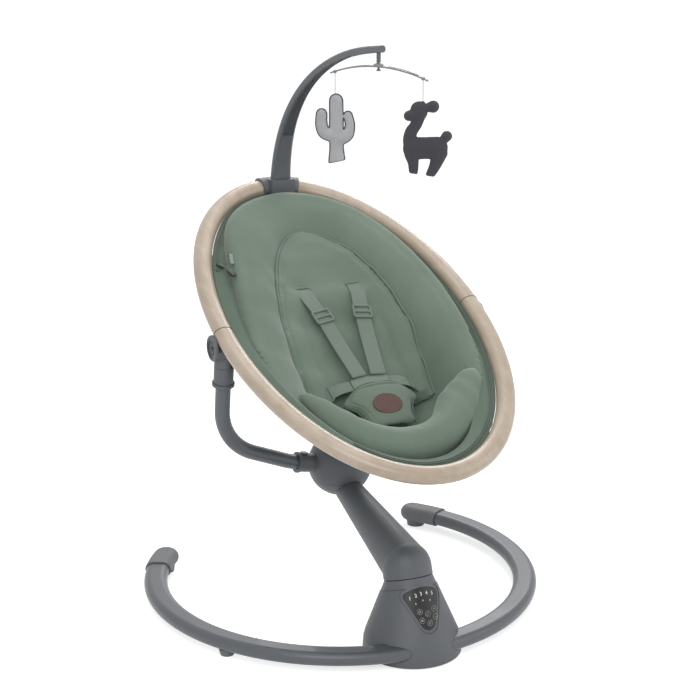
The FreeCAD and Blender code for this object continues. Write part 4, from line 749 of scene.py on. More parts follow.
# ============================================================ studio
@dataclass
class Studio:
    """Camera at the object's three-quarter front, soft lamps, and a pale floor that stays white."""

    azimuth: float = math.radians(-25.703)
    elevation: float = math.radians(16.688)
    spot: tuple[float, float, float] = (-1.1779, -2.4441, 1.2329)
    lens: float = 92.57
    aim: tuple[float, float, float] = (0.0, 0.0, 0.42)
    room_light: float = 0.5
    floor_half: float = 9.0
    floor_glow: float = 0.64
    lamps: tuple[tuple[str, tuple[float, float, float], float, float], ...] = (
        ("key", (-1.5, -2.2, 2.3), 1.8, 34.0),
        ("fill", (2.1, -1.6, 1.4), 2.0, 14.0),
        ("rim", (1.3, 1.9, 1.9), 1.4, 26.0),
        ("top", (0.0, 0.1, 2.6), 1.6, 14.0),
    )

    def camera(self) -> None:
        """Places the camera and makes it the scene's."""
        a, e = self.azimuth, self.elevation
        ahead = Vector((-math.sin(a) * math.cos(e), math.cos(a) * math.cos(e), -math.sin(e)))
        right = Vector((math.cos(a), math.sin(a), 0.0))
        up = right.cross(ahead)
        data = bpy.data.cameras.new("camera")
        data.sensor_width = 36.0
        data.lens = self.lens
        data.clip_end = 50.0
        camera = bpy.data.objects.new("camera", data)
        bpy.context.scene.collection.objects.link(camera)
        turn = Matrix((right, up, -ahead)).transposed().to_4x4()
        camera.matrix_world = Matrix.Translation(Vector(self.spot)) @ turn
        bpy.context.scene.camera = camera

    def lights(self) -> None:
        """Adds the soft lamps, each aimed under the seat."""
        target = Vector(self.aim)
        for name, spot, size, power in self.lamps:
            data = bpy.data.lights.new(name, "AREA")
            data.size = size
            data.energy = power
            lamp = bpy.data.objects.new(name, data)
            bpy.context.scene.collection.objects.link(lamp)
            turn = (Vector(spot) - target).to_track_quat("Z", "Y").to_matrix().to_4x4()
            lamp.matrix_world = Matrix.Translation(Vector(spot)) @ turn

    def surroundings(self) -> None:
        """A pale floor that keeps the shadow, and a world that is white to the eye alone."""
        world = bpy.data.worlds.new("room")
        bpy.context.scene.world = world
        world.use_nodes = True
        tree = world.node_tree
        tree.nodes.clear()
        seen, lit, mixed = (tree.nodes.new(k) for k in (
            "ShaderNodeBackground", "ShaderNodeBackground", "ShaderNodeMixShader"))
        seen.inputs[0].default_value = (1, 1, 1, 1)
        lit.inputs[0].default_value = (0.95, 0.97, 1.0, 1)
        lit.inputs[1].default_value = self.room_light
        tree.links.new(self.seen_by_eye(tree), mixed.inputs[0])
        tree.links.new(lit.outputs[0], mixed.inputs[1])
        tree.links.new(seen.outputs[0], mixed.inputs[2])
        out = tree.nodes.new("ShaderNodeOutputWorld")
        tree.links.new(mixed.outputs[0], out.inputs[0])
        half = self.floor_half
        corner = np.array([[-half, -half, 0], [half, -half, 0], [half, half, 0], [-half, half, 0]])
        floor = to_object("floor", corner, np.array([[0, 1, 2, 3]]))
        shader = Shader("floor_white")
        shader.feed(Base_Color=(0.86, 0.86, 0.86), Roughness=0.9, Specular_IOR_Level=0.0,
                    Emission_Color=(1.0, 1.0, 1.0))
        glow = shader.tree.nodes.new("ShaderNodeMath")
        glow.operation = "MULTIPLY"
        shader.tree.links.new(self.seen_by_eye(shader.tree), glow.inputs[0])
        glow.inputs[1].default_value = self.floor_glow
        shader.tree.links.new(glow.outputs[0], shader.surface.inputs["Emission Strength"])
        floor.data.materials.append(shader.material)
        bpy.context.scene.view_settings.view_transform = "Standard"

    @staticmethod
    def seen_by_eye(tree: bpy.types.NodeTree) -> bpy.types.NodeSocket:
        """1 for rays from the camera, off a gloss or through glass, else 0."""
        path = tree.nodes.new("ShaderNodeLightPath")
        total = path.outputs["Is Camera Ray"]
        for name in ("Is Glossy Ray", "Is Transmission Ray"):
            more = tree.nodes.new("ShaderNodeMath")
            more.operation = "ADD"
            more.use_clamp = True
            tree.links.new(total, more.inputs[0])
            tree.links.new(path.outputs[name], more.inputs[1])
            total = more.outputs[0]
        return total


# ============================================================ finishes of this object
class Paint:
    """The finishes of the object, each built once."""

    def __init__(self) -> None:
        """Builds every material."""
        self.tube = Moulding(
            "tube_powder", (0.1, 0.107, 0.117), 0.42, 1500.0, 0.05 * MM, 0.05, 0.1, 0.15).make()
        self.housing = Moulding("housing_grain", (0.106, 0.113, 0.122), 0.5, 2400.0, 0.04 * MM, 0.05).make()
        self.dark = Moulding("dark_plastic", (0.04, 0.042, 0.046), 0.45, 2600.0, 0.03 * MM).make()
        self.cap = Moulding("cap_rubber", (0.17, 0.175, 0.182), 0.62, 1300.0, 0.06 * MM, 0.07).make()
        self.panel = Moulding("panel_gloss", (0.005, 0.005, 0.006), 0.42, 900.0, 0.002 * MM, 0.02).make()
        self.board = Moulding("board_mask", (0.03, 0.16, 0.06), 0.4).make()
        self.cast = Turned("cast_metal", (0.5, 0.5, 0.5), 0.45).make()
        self.steel = Turned("turned_steel", (0.6, 0.6, 0.61), 0.28).make()
        self.coil = Turned("coil_winding", (0.6, 0.25, 0.1), 0.4).make()
        self.magnet = Moulding("magnet_dull", (0.05, 0.05, 0.055), 0.6).make()
        self.ring = RingCoat("ring_beige", (0.41, 0.322, 0.238), (0.5, 0.41, 0.32)).make()
        self.fabric = Jersey("seat_jersey", (0.148, 0.2, 0.15)).make()
        self.cushion = Jersey("insert_jersey", (0.155, 0.207, 0.157), 0.8 * MM).make()
        self.liner = Jersey("liner_tape", (0.108, 0.152, 0.112), 0.7 * MM).make()
        self.piping = Jersey("piping_tape", (0.085, 0.12, 0.09), 0.6 * MM, 0.08 * MM).make()
        self.shell = Jersey("shell_jersey", (0.12, 0.165, 0.122), 1.0 * MM).make()
        self.coil_teeth = Weave("zip_coil", (0.07, 0.1, 0.075), 2.0 * MM).make()
        self.strap = Weave("strap_weave", (0.165, 0.205, 0.165)).make()
        self.sage = Moulding("sage_plastic", (0.135, 0.175, 0.138), 0.42, 2600.0).make()
        self.hide = Hide("badge_hide", (0.088, 0.04, 0.03)).make()
        self.zipper = Moulding("zip_dark", (0.028, 0.036, 0.03), 0.4).make()
        self.thread = Moulding("sewing_thread", (0.19, 0.24, 0.19), 0.7, 3000.0, 0.02 * MM).make()
        self.label = Jersey("label_ribbon", (0.22, 0.26, 0.22), 0.5 * MM, 0.05 * MM).make()
        self.pale = Moulding("mobile_pale", (0.22, 0.223, 0.226), 0.4).make()
        self.string = Moulding("string_twist", (0.55, 0.55, 0.55), 0.8, 2200.0, 0.1 * MM).make()
        self.charcoal = Jersey("toy_charcoal", (0.058, 0.056, 0.064), 0.7 * MM, 0.1 * MM, 0.25).make()
        self.piped = PipedKnit(
            "toy_grey_piped", (0.41, 0.413, 0.42), (0.07, 0.07, 0.075), tuple(np.array(CACTUS.hang) * MM),
            tuple(CACTUS.normal), 1.6 * MM).make()
        self.ink = Print("panel_ink", (0.8, 0.8, 0.8)).make()
        self.mark = Moulding("cap_mark", (0.02, 0.02, 0.022), 0.5).make()

    def dress(self, finish: bpy.types.Material, *nodes: str) -> None:
        """Gives CAD nodes a finish."""
        for name in nodes:
            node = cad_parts[name]
            node.data.materials.clear()
            node.data.materials.append(finish)


def wear(piece: bpy.types.Object, finish: bpy.types.Material, slot: str | None, body: str,
         *replaced: str) -> bpy.types.Object:
    """Finishes a new piece.

    Args:
        piece: the piece.
        finish: its material.
        slot: the record's slot that the finish answers to, if it has one; it is not used.
        body: the body that it rides on.
        replaced: the CAD nodes that it stands for.

    Returns:
        The piece.
    """
    piece.data.materials.clear()
    piece.data.materials.append(finish)
    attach(piece, body)
    if replaced:
        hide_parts(*replaced)
    LOG.info("%s rides on %s", piece.name, body)
    return piece


# ============================================================ seat cushions
@dataclass
class Cushions:
    """Pad, inner cushion and foot bolster, on one hollow that the sitter lies in.

    The stations and heights of the hollow's floor and of its opening are listed in millimetres, and the
    pad's lobes as (height, angle, width), with angles in degrees from the right side; the right lobe's
    angle counts from the foot.
    """

    crown: float = 35.0 * MM
    side_rim: float = 6.0 * MM
    head_rim: float = 24.0 * MM
    right_rim: float = 6.0 * MM
    right_rise: tuple[float, float] = (20.0 * MM, 140.0 * MM)
    under_rim: float = 4.0 * MM
    roll: float = 0.055
    dip: float = 7.0 * MM
    edge_height: float = 1.0 * MM
    edge_thickness: float = 5.0 * MM
    foot_drop: float = 34.0 * MM
    foot_fall: tuple[float, float] = (170.0 * MM, 250.0 * MM)
    lobes: tuple[tuple[float, float, float], ...] = (
        (0.055, 126.0, 20.0), (-0.05, 161.0, 17.0), (0.05, 205.0, 20.0), (-0.06, 270.0, 30.0))
    right_lobe: tuple[float, float, float] = (0.06, 95.0, 55.0)
    floor_v: tuple[float, ...] = (-312.0, -250.0, -150.0, -60.0, 20.0, 90.0, 160.0, 230.0, 312.0)
    floor_w: tuple[float, ...] = (-20.0, -62.0, -88.0, -62.0, -40.0, -18.0, -2.0, 9.0, 8.0)
    hollow_power: float = 2.6
    hollow_in: float = 6.0 * MM
    hollow_soft: float = 7.0 * MM
    open_v: tuple[float, ...] = (-120.0, -65.0, 0.0, 76.0, 110.0, 180.0, 230.0, 312.0)
    open_x: tuple[float, ...] = (168.0, 148.0, 126.0, 108.0, 92.0, 66.0, 40.0, 26.0)
    puff: float = 10.0 * MM
    puff_rise: tuple[float, float] = (-260.0 * MM, -120.0 * MM)
    puff_power: float = 0.8
    bulge: float = 1.3
    bowl_depth: float = 115.0 * MM
    bowl_out: float = 18.0 * MM
    seam_depth: float = 1.4 * MM
    seam_width: float = 4.5 * MM
    waist_v: float = -20.0 * MM
    head_v: float = 215.0 * MM
    foot_v: float = -128.0 * MM
    half_width: float = 108.0 * MM
    taper: float = 0.04
    arch_power: float = 1.6
    arch_round: float = 0.52
    insert_in: float = 1.2 * MM
    insert_lift: float = 2.0 * MM
    insert_edge: float = 7.0 * MM
    insert_crown: float = 5.0 * MM
    slot_dent: float = 5.0 * MM
    crease_depth: float = 3.5 * MM
    piping_lift: float = 1.4 * MM
    piping_radius: float = 1.7 * MM
    bolster_sweep: float = math.radians(58)
    bolster_in: float = 55.0 * MM
    bolster_side_in: float = 19.0 * MM
    bolster_half: tuple[float, float] = (33.0 * MM, 24.0 * MM)
    bolster_folds: int = 34
    bolster_piping_out: float = 34.5 * MM
    bolster_piping_down: float = 9.0 * MM
    bolster_piping_radius: float = 1.4 * MM

    @staticmethod
    def stepped(knots: Sequence[float], values: Sequence[float], v: Array) -> Array:
        """Values between stations in millimetres, by cosine-eased steps."""
        at, value = np.array(knots) * MM, np.array(values) * MM
        i = np.clip(np.searchsorted(at, v) - 1, 0, len(at) - 2)
        share = np.clip((v - at[i]) / (at[i + 1] - at[i]), 0, 1)
        return value[i] + (value[i + 1] - value[i]) * (0.5 - 0.5 * np.cos(np.pi * share))

    def floor(self, v: Array) -> Array:
        """Height of the hollow on its middle line."""
        return self.stepped(self.floor_v, self.floor_w, v)

    def rim(self, x: Array, v: Array) -> Array:
        """Height of the pad's edge, rising towards the head end and a little to the right."""
        sloped = self.side_rim + (self.head_rim - self.side_rim) * v / SEAT.pad_v
        return sloped + self.right_rim * eased(x, *self.right_rise)

    def waist(self, v: Array) -> Array:
        """Half width of the inner cushion before its arch: level at the head, a slow taper to the foot."""
        return self.half_width - self.taper * np.maximum(self.waist_v - v, 0)

    def arch(self, v: Array) -> Array:
        """Half width of the inner cushion: (1 - s^power)^round of it from the waist to the head's end."""
        share = np.clip((v - self.waist_v) / (self.head_v - self.waist_v), 0, 1)
        rounded = self.half_width * (1 - share**self.arch_power) ** self.arch_round
        return np.where(v < self.waist_v, self.waist(v), rounded)

    def inward(self, x: Array, v: Array) -> Array:
        """1 on the inner cushion's seam, less inside it and more outside."""
        share = np.clip((v - self.waist_v) / (self.head_v - self.waist_v), 0, 3)
        across = (np.abs(x) / self.waist(v)) ** (1 / self.arch_round)
        return (across + share**self.arch_power) ** (1 / self.arch_power)

    def outline(self, x: Array, v: Array) -> Array:
        """How far the pad's edge leaves its oval, as a factor: 1 and a smooth hump for each lobe."""
        turn = np.degrees(np.arctan2(v / SEAT.pad_v, x / SEAT.pad_x)) % 360
        factor = 1.0
        for height, angle, width in self.lobes:
            factor = factor + height * bump(turn, angle, width)
        height, angle, width = self.right_lobe
        return factor + height * bump((turn + 90) % 360, angle, width)

    def reach(self, x: Array, v: Array) -> Array:
        """1 on the pad's edge, less inside it."""
        return np.sqrt((x / SEAT.pad_x) ** 2 + (v / SEAT.pad_v) ** 2) / self.outline(x, v)

    def hollow(self, x: Array, v: Array) -> Array:
        """The hollow: across the seat a superellipse between its floor and its crown, held under the rim."""
        half_x, half_v = SEAT.pad_x - self.hollow_in, SEAT.pad_v - self.hollow_in
        wide = half_x * np.sqrt(np.clip(1 - (v / half_v) ** 2, 0.004, 1))
        wide = np.minimum(wide, self.stepped(self.open_v, self.open_x, v))
        share = np.clip(np.abs(x) / wide, 0, 1)
        low = self.floor(v)
        height = self.crown - (self.crown - low) * (1 - share**self.hollow_power) ** (1 / self.hollow_power)
        limit = self.rim(x, v) - self.under_rim
        return -self.hollow_soft * np.logaddexp(-height / self.hollow_soft, -limit / self.hollow_soft)

    def seam_height(self, x: Array, v: Array) -> Array:
        """Height of the hollow on the seam, at the place of the seam that is nearest inwards."""
        far = np.maximum(self.inward(x, v), 1)
        return self.hollow(x / far, np.where(v > self.waist_v, self.waist_v + (v - self.waist_v) / far, v))

    def top(self, x: Array, v: Array) -> Array:
        """The pad's upper side: the hollow inside the seam, and a plump roll between the seam and the edge.

        With share s from the seam to the edge the roll rises as 1 - (1 - s)^bulge, plus a hump that is
        nil at both; a quarter of an ellipse rolls the edge down, and under the inner cushion the pad
        dips to make room for it.
        """
        reach = self.reach(x, v)
        outside = np.clip(self.inward(x, v) - 1, 0, None) * self.half_width
        inside = np.clip(1 - reach, 0, 1) * SEAT.pad_x
        share = outside / np.maximum(outside + inside, 1e-6)
        hump = np.clip(4 * share * (1 - share), 0, 1) ** self.puff_power
        limit, low = self.rim(x, v) - self.under_rim, self.seam_height(x, v)
        rise = limit - np.maximum(limit - low, 0) * (1 - share) ** self.bulge
        body = np.where(self.inward(x, v) > 1, rise, self.hollow(x, v))
        body = body + self.puff * hump * eased(v, *self.puff_rise)
        body -= self.dip * (1 - eased(self.inward(x, v), 0.93, 1.0))
        edge = self.edge_height - self.foot_drop * eased(-v, *self.foot_fall)
        fall = np.sqrt(np.clip(1 - (np.clip(reach - 1 + self.roll, 0, None) / self.roll) ** 2, 0, 1))
        return edge + (body - edge) * fall

    def pad(self) -> bpy.types.Object:
        """The thick pad as one closed skin: its hollowed upper side, then its underside in the bowl."""
        turn = np.linspace(0, 2 * np.pi, 260, endpoint=False)
        x, v = SEAT.pad_x * np.cos(turn), SEAT.pad_v * np.sin(turn)
        grow = self.outline(x, v)
        x, v = x * grow, v * grow
        share = (np.linspace(0, 1, 97) ** 0.85)[:, None]
        upper = SEAT.place(x * share, v * share, self.top(x * share, v * share))
        down = np.linspace(1, 0, 26)[:, None]
        x, v = x * down, v * down
        oval = np.sqrt((x / SEAT.pad_x) ** 2 + (v / SEAT.pad_v) ** 2)
        deep = np.sqrt((x / (SEAT.pad_x + self.bowl_out)) ** 2 + (v / (SEAT.pad_v + self.bowl_out)) ** 2)
        under = -self.bowl_depth * np.sqrt(np.clip(1 - deep**2, 0, 1)) * (1 - eased(oval, 0.93, 1.0))
        under = np.minimum(under + 0.6 * MM, self.top(x, v) - self.edge_thickness)
        lower = SEAT.place(x, v, under)
        piece = tidy(surface("seat_pad_cover", np.concatenate([upper, lower]), wrap_columns=True))
        piece = Puff(5.5 * MM, 4 * MM)(piece, self.pad_freedom)

        def carve(points: Array, normal: Array) -> Array:
            """Sinks the seam round the inner cushion and adds soft folds."""
            x, v, _ = SEAT.local(points).T
            up = np.clip(normal @ SEAT.over, 0, 1)
            seam = -self.seam_depth * bump((self.inward(x, v) - 1) * self.half_width, 0.0, self.seam_width)
            folds = 0.5 * MM * wrinkle(points, 0.11, 3) * eased(self.reach(x, v), 0.35, 0.8)
            return points + normal * ((seam + folds) * up)[:, None]

        return shaped(piece, carve)

    def pad_freedom(self, points: Array) -> Array:
        """Share of the swelling that a point of the pad may take: less where it lies in the bowl."""
        x, v, w = SEAT.local(points).T
        upper = eased(w - self.top(x, v), -6 * MM, -1 * MM)
        return upper * (1 - eased(self.reach(x, v), 0.6, 0.98)) * eased(self.inward(x, v), 0.99, 1.25)

    def insert(self) -> bpy.types.Object:
        """The inner cushion: rows across it from its foot to its arch, top side out and underside back."""
        rows = self.foot_v + (self.head_v - self.foot_v) * np.sin(np.linspace(0, np.pi / 2, 110))
        out = np.sin(np.linspace(-np.pi / 2, np.pi / 2, 76))
        v = rows[:, None]
        x = np.maximum(self.arch(v) - self.insert_in, 0.2 * MM) * out
        v = np.broadcast_to(v, x.shape)
        swell = np.sqrt(np.clip(1 - out**8, 0, 1)) * np.clip(1 - self.inward(x, v) ** 10, 0, 1) ** 0.5
        lie = self.hollow(x, v) + self.insert_lift
        over = lie + 0.5 * MM + self.insert_crown * swell
        under = lie - self.insert_edge
        points = np.concatenate([SEAT.place(x, v, over), SEAT.place(x, v, under)[:, ::-1]], axis=1)
        piece = closed_ends(tidy(surface("newborn_insert", points, wrap_columns=True)))
        piece = Puff(3.5 * MM, 3 * MM)(piece, self.insert_freedom)

        def dent(points: Array, normal: Array) -> Array:
            """Sinks the cushion round the strap slots and along a shallow crease down each side."""
            x, v, _ = SEAT.local(points).T
            up = np.clip(normal @ SEAT.over, 0, 1)
            slots = -self.slot_dent * bump(np.abs(x), 46 * MM, 22 * MM) * bump(v, 93 * MM, 15 * MM)
            crease = -self.crease_depth * bump(np.abs(x), 66 * MM, 8 * MM) * eased(-v, -70 * MM, 0.0)
            folds = 0.4 * MM * wrinkle(points, 0.09, 8)
            return points + normal * ((slots + crease + folds) * up)[:, None]

        return shaped(piece, dent)

    def insert_freedom(self, points: Array) -> Array:
        """Share of the swelling that the inner cushion takes: its upper side alone."""
        x, v, w = SEAT.local(points).T
        return eased(w - self.hollow(x, v), -1 * MM, 4 * MM) * (1 - eased(self.inward(x, v), 0.86, 0.97))

    def bolster_line(self, share: Array) -> tuple[Array, Array, Array]:
        """Centre (x, v, w), outward direction and thickness of the bolster, for shares from -1 to 1.

        The centre follows the pad's oval, inside it, and moves out towards both tips; the thickness
        falls with the square of the share, less on the right than on the left.
        """
        turn = share * self.bolster_sweep
        out = 4 * MM + 6 * MM * bump(share, -0.5, 0.4) + 16 * MM * share**6
        wide = SEAT.pad_x - self.bolster_side_in + out
        long = SEAT.pad_v - self.bolster_in + out
        centre = np.stack([wide * np.sin(turn), -long * np.cos(turn), (-24 + 22 * share**2) * MM], -1)
        ahead = np.stack([wide * np.cos(turn), long * np.sin(turn)], -1)
        ahead /= np.linalg.norm(ahead, axis=-1, keepdims=True)
        outward = np.stack([ahead[..., 1], -ahead[..., 0]], -1)
        thinner = np.where(share > 0, 0.4, 0.62)
        return centre, outward, (1 - thinner * share**2) * np.sqrt(np.clip(1 - np.abs(share) ** 14, 0, 1))

    def bolster(self) -> bpy.types.Object:
        """The crescent bolster: superellipse sections along the oval, fuller inwards on the right."""
        share = np.sin(np.linspace(-np.pi / 2, np.pi / 2, 121))[:, None]
        turn = np.linspace(0, 2 * np.pi, 48, endpoint=False)[None]
        centre, outward, thick = self.bolster_line(share[:, 0])
        c, s = np.cos(turn), np.sin(turn)
        half, high = self.bolster_half
        across = half * thick[:, None] * np.sign(c) * np.abs(c) ** 0.85
        across = np.where(across < 0, across * (1 + 0.4 * bump(share, 0.66, 0.22)), across)
        rise = high * thick[:, None] * np.sign(s) * np.abs(s) ** 0.9
        x = centre[:, None, 0] + outward[:, None, 0] * across
        v = centre[:, None, 1] + outward[:, None, 1] * across
        w = centre[:, None, 2] + rise
        piece = tidy(surface("foot_bolster_cover", SEAT.place(x, v, w), wrap_columns=True))
        piece = Puff(4 * MM, 5 * MM)(piece)

        def gathered(points: Array, normal: Array) -> Array:
            """Adds soft folds across the bolster's wings and fine ones all over it."""
            x, v, _ = SEAT.local(points).T
            angle = np.arctan2(x / SEAT.pad_x, -v / SEAT.pad_v)
            waves = np.sin(angle * self.bolster_folds + 2 * wrinkle(points, 0.2, 5))
            folds = 0.7 * MM * waves * eased(np.abs(angle), 0.3, 0.9)
            return points + normal * (folds + 0.4 * MM * wrinkle(points, 0.07, 4))[:, None]

        return shaped(piece, gathered)

    def build_piping(self, paint: Paint) -> None:
        """The piping along the bolster's outer side and round the inner cushion."""
        centre, outward, thick = self.bolster_line(np.linspace(-0.97, 0.97, 240))
        side = centre[:, :2] + outward * (self.bolster_piping_out * thick)[:, None]
        line = SEAT.place(side[:, 0], side[:, 1], centre[:, 2] - self.bolster_piping_down * thick)
        cord = tube("bolster_piping", line, self.bolster_piping_radius, SEAT.over)
        wear(cord, paint.piping, "seat_fabric", "seat")
        end = self.head_v - 0.5 * MM
        rows = self.foot_v + (end - self.foot_v) * np.sin(np.linspace(0, np.pi / 2, 150))
        x = self.arch(rows)
        x, rows = np.r_[x, -x[-2::-1]], np.r_[rows, rows[-2::-1]]
        line = SEAT.place(x, rows, self.hollow(x, rows) + self.piping_lift)
        cord = tube("insert_piping", line, self.piping_radius, SEAT.over)
        wear(cord, paint.cushion, "insert_fabric", "seat")

    def build(self, paint: Paint) -> None:
        """Makes and dresses the three cushions and their piping."""
        pad = wear(self.pad(), paint.fabric, "seat_fabric", "seat", "seat_pad")
        insert = wear(self.insert(), paint.cushion, "insert_fabric", "seat", "inner_insert")
        bolster = wear(self.bolster(), paint.fabric, "seat_fabric", "seat", "foot_bolster")
        self.build_piping(paint)


# ============================================================ small shapes
def ribbon(name: str, knots: Sequence[Sequence[float]], width: float, thickness: float = 2.0 * MM,
           mirror: bool = False, count: int = 90) -> bpy.types.Object:
    """A woven strap: a rounded flat section carried along a smooth path in the seat's frame.

    Args:
        name: the piece's name.
        knots: (x, v, w) points in millimetres.
        width: its width.
        thickness: its thickness.
        mirror: put it on the other side of the seat.
        count: rings along it.

    Returns:
        The closed strap, its ends flattened shut.
    """
    path = smooth_path(np.array(knots) * MM, count)
    path[:, 0] *= -1 if mirror else 1
    place = SEAT.place(*path.T)
    _, side, over = along(place, SEAT.over)
    turn = np.linspace(0, 2 * np.pi, 28, endpoint=False)
    c, s = np.cos(turn), np.sin(turn)
    across = np.sign(c) * np.abs(c) ** 0.35 * width / 2
    rise = np.sign(s) * np.abs(s) ** 0.6 * thickness / 2
    thin = np.ones(count)
    thin[[0, -1]] = 0.02
    points = place[:, None] + across[None, :, None] * side[:, None]
    points = points + (rise[None, :] * thin[:, None])[..., None] * over[:, None]
    piece = surface(name, points, wrap_columns=True)
    return closed_ends(piece)


def closed_ends(piece: bpy.types.Object) -> bpy.types.Object:
    """Fills a piece's open rims and turns its faces outwards."""
    work = bmesh.new()
    work.from_mesh(piece.data)
    bmesh.ops.holes_fill(work, edges=[e for e in work.edges if e.is_boundary], sides=0)
    bmesh.ops.recalc_face_normals(work, faces=work.faces)
    work.to_mesh(piece.data)
    work.free()
    return piece


def domed(name: str, half_x: float, half_v: float, height: float, power: float = 2.0, edge: float = 6.0,
          lip: float = 0.0) -> bpy.types.Object:
    """A domed tablet round the origin: its plan is a superellipse, its height (1 - r^edge)^(1/edge).

    Args:
        name: the piece's name.
        half_x: its half width.
        half_v: its half length.
        height: its half height.
        power: of the plan, 2 for an ellipse.
        edge: how square its rim is.
        lip: height of a raised line inside the rim.

    Returns:
        The closed tablet in the XY plane.
    """
    turn = np.linspace(0, 2 * np.pi, 96, endpoint=False)
    share = np.sin(np.linspace(0, np.pi / 2, 30))[:, None]
    c, s = np.cos(turn), np.sin(turn)
    x = half_x * share * np.sign(c) * np.abs(c) ** (2 / power)
    y = half_v * share * np.sign(s) * np.abs(s) ** (2 / power)
    rise = height * (1 - share**edge) ** (1 / edge)
    top = np.stack([x, y, np.broadcast_to(rise + lip * bump(share, 0.84, 0.035), x.shape)], -1)
    low = np.stack([x, y, np.broadcast_to(-rise, x.shape)], -1)[::-1]
    return tidy(surface(name, np.concatenate([top, low]), wrap_columns=True))


def set_on(piece: bpy.types.Object, x: float, v: float, w: float, slope: float = 0.0,
           turn: float = 0.0) -> bpy.types.Object:
    """Moves a flat piece made round the origin onto the seat, in its mesh.

    Args:
        piece: the piece, lying in the XY plane.
        x: its place across the seat.
        v: its place along the seat.
        w: its height over the ring's plane.
        slope: how far it rises towards the head, in radians.
        turn: how far it is turned in its own plane, in radians.

    Returns:
        The same piece.
    """

    def move(points: Array, _: Array) -> Array:
        """Turns, tilts and carries the points."""
        c, s = math.cos(turn), math.sin(turn)
        a = points[:, 0] * c - points[:, 1] * s
        b = points[:, 0] * s + points[:, 1] * c
        rise, run = math.sin(slope), math.cos(slope)
        return SEAT.place(x + a, v + b * run - points[:, 2] * rise, w + b * rise + points[:, 2] * run)

    return shaped(piece, move)


def ladder(name: str, width: float, length: float, rungs: int, bar: float,
           voxel: float = 0.55 * MM) -> bpy.types.Object:
    """A slide made of round bars, two rails and some rungs, melted into one."""
    half, long = width / 2 - bar, length / 2 - bar
    up = (0.1, 0.05, 1.0)
    bars = [tube("bar", np.linspace([-half, y, 0], [half, y, 0], 14), bar, up, 12)
            for y in np.linspace(-long, long, rungs)]
    bars += [tube("bar", np.linspace([x, -long, 0], [x, long, 0], 14), bar, up, 12) for x in (-half, half)]
    return melted(joined(name, bars), voxel)


def stitches(name: str, path: Array, up: Sequence[float], pitch: float = 3.6 * MM, share: float = 0.66,
             radius: float = 0.38 * MM) -> bpy.types.Object:
    """A row of stitches: short spindles of six sides laid along a path.

    Args:
        name: the piece's name.
        path: points that it follows, closely spaced.
        up: the direction away from the cloth.
        pitch: from one stitch to the next.
        share: part of the pitch that the thread shows.
        radius: of the thread.

    Returns:
        All the stitches as one piece.
    """
    run = np.r_[0, np.cumsum(np.linalg.norm(np.diff(path, axis=0), axis=1))]
    first = np.arange(pitch / 2, run[-1] - pitch, pitch)
    step = np.linspace(0, 1, 5)
    at = first[:, None] + step[None] * pitch * share
    centre = np.stack([np.interp(at, run, path[:, k]) for k in range(3)], -1)
    ahead = centre[:, -1:] - centre[:, :1]
    ahead /= np.linalg.norm(ahead, axis=-1, keepdims=True)
    side = np.cross(ahead, np.asarray(up, float))
    side /= np.linalg.norm(side, axis=-1, keepdims=True)
    over = np.cross(side, ahead)
    turn = np.linspace(0, 2 * np.pi, 6, endpoint=False)
    size = (radius * np.sqrt(np.clip(1 - (2 * step - 1) ** 2, 0.02, 1)))[None, :, None, None]
    ring = np.cos(turn)[:, None] * side[:, :, None] + np.sin(turn)[:, None] * over[:, :, None]
    points = centre[:, :, None] + ring * size
    number, rows = points.shape[:2]
    grid = quads(rows, 6, wrap_columns=True).reshape(-1, 4)
    caps = np.array([[0, 1, 2, 3], [0, 3, 4, 5]])
    ends = np.concatenate([caps, caps[:, ::-1] + (rows - 1) * 6])
    faces = np.concatenate([grid, ends])
    faces = (np.arange(number) * rows * 6)[:, None, None] + faces[None]
    piece = to_object(name, points, faces)
    return tidy(piece, 0.0005 * MM)


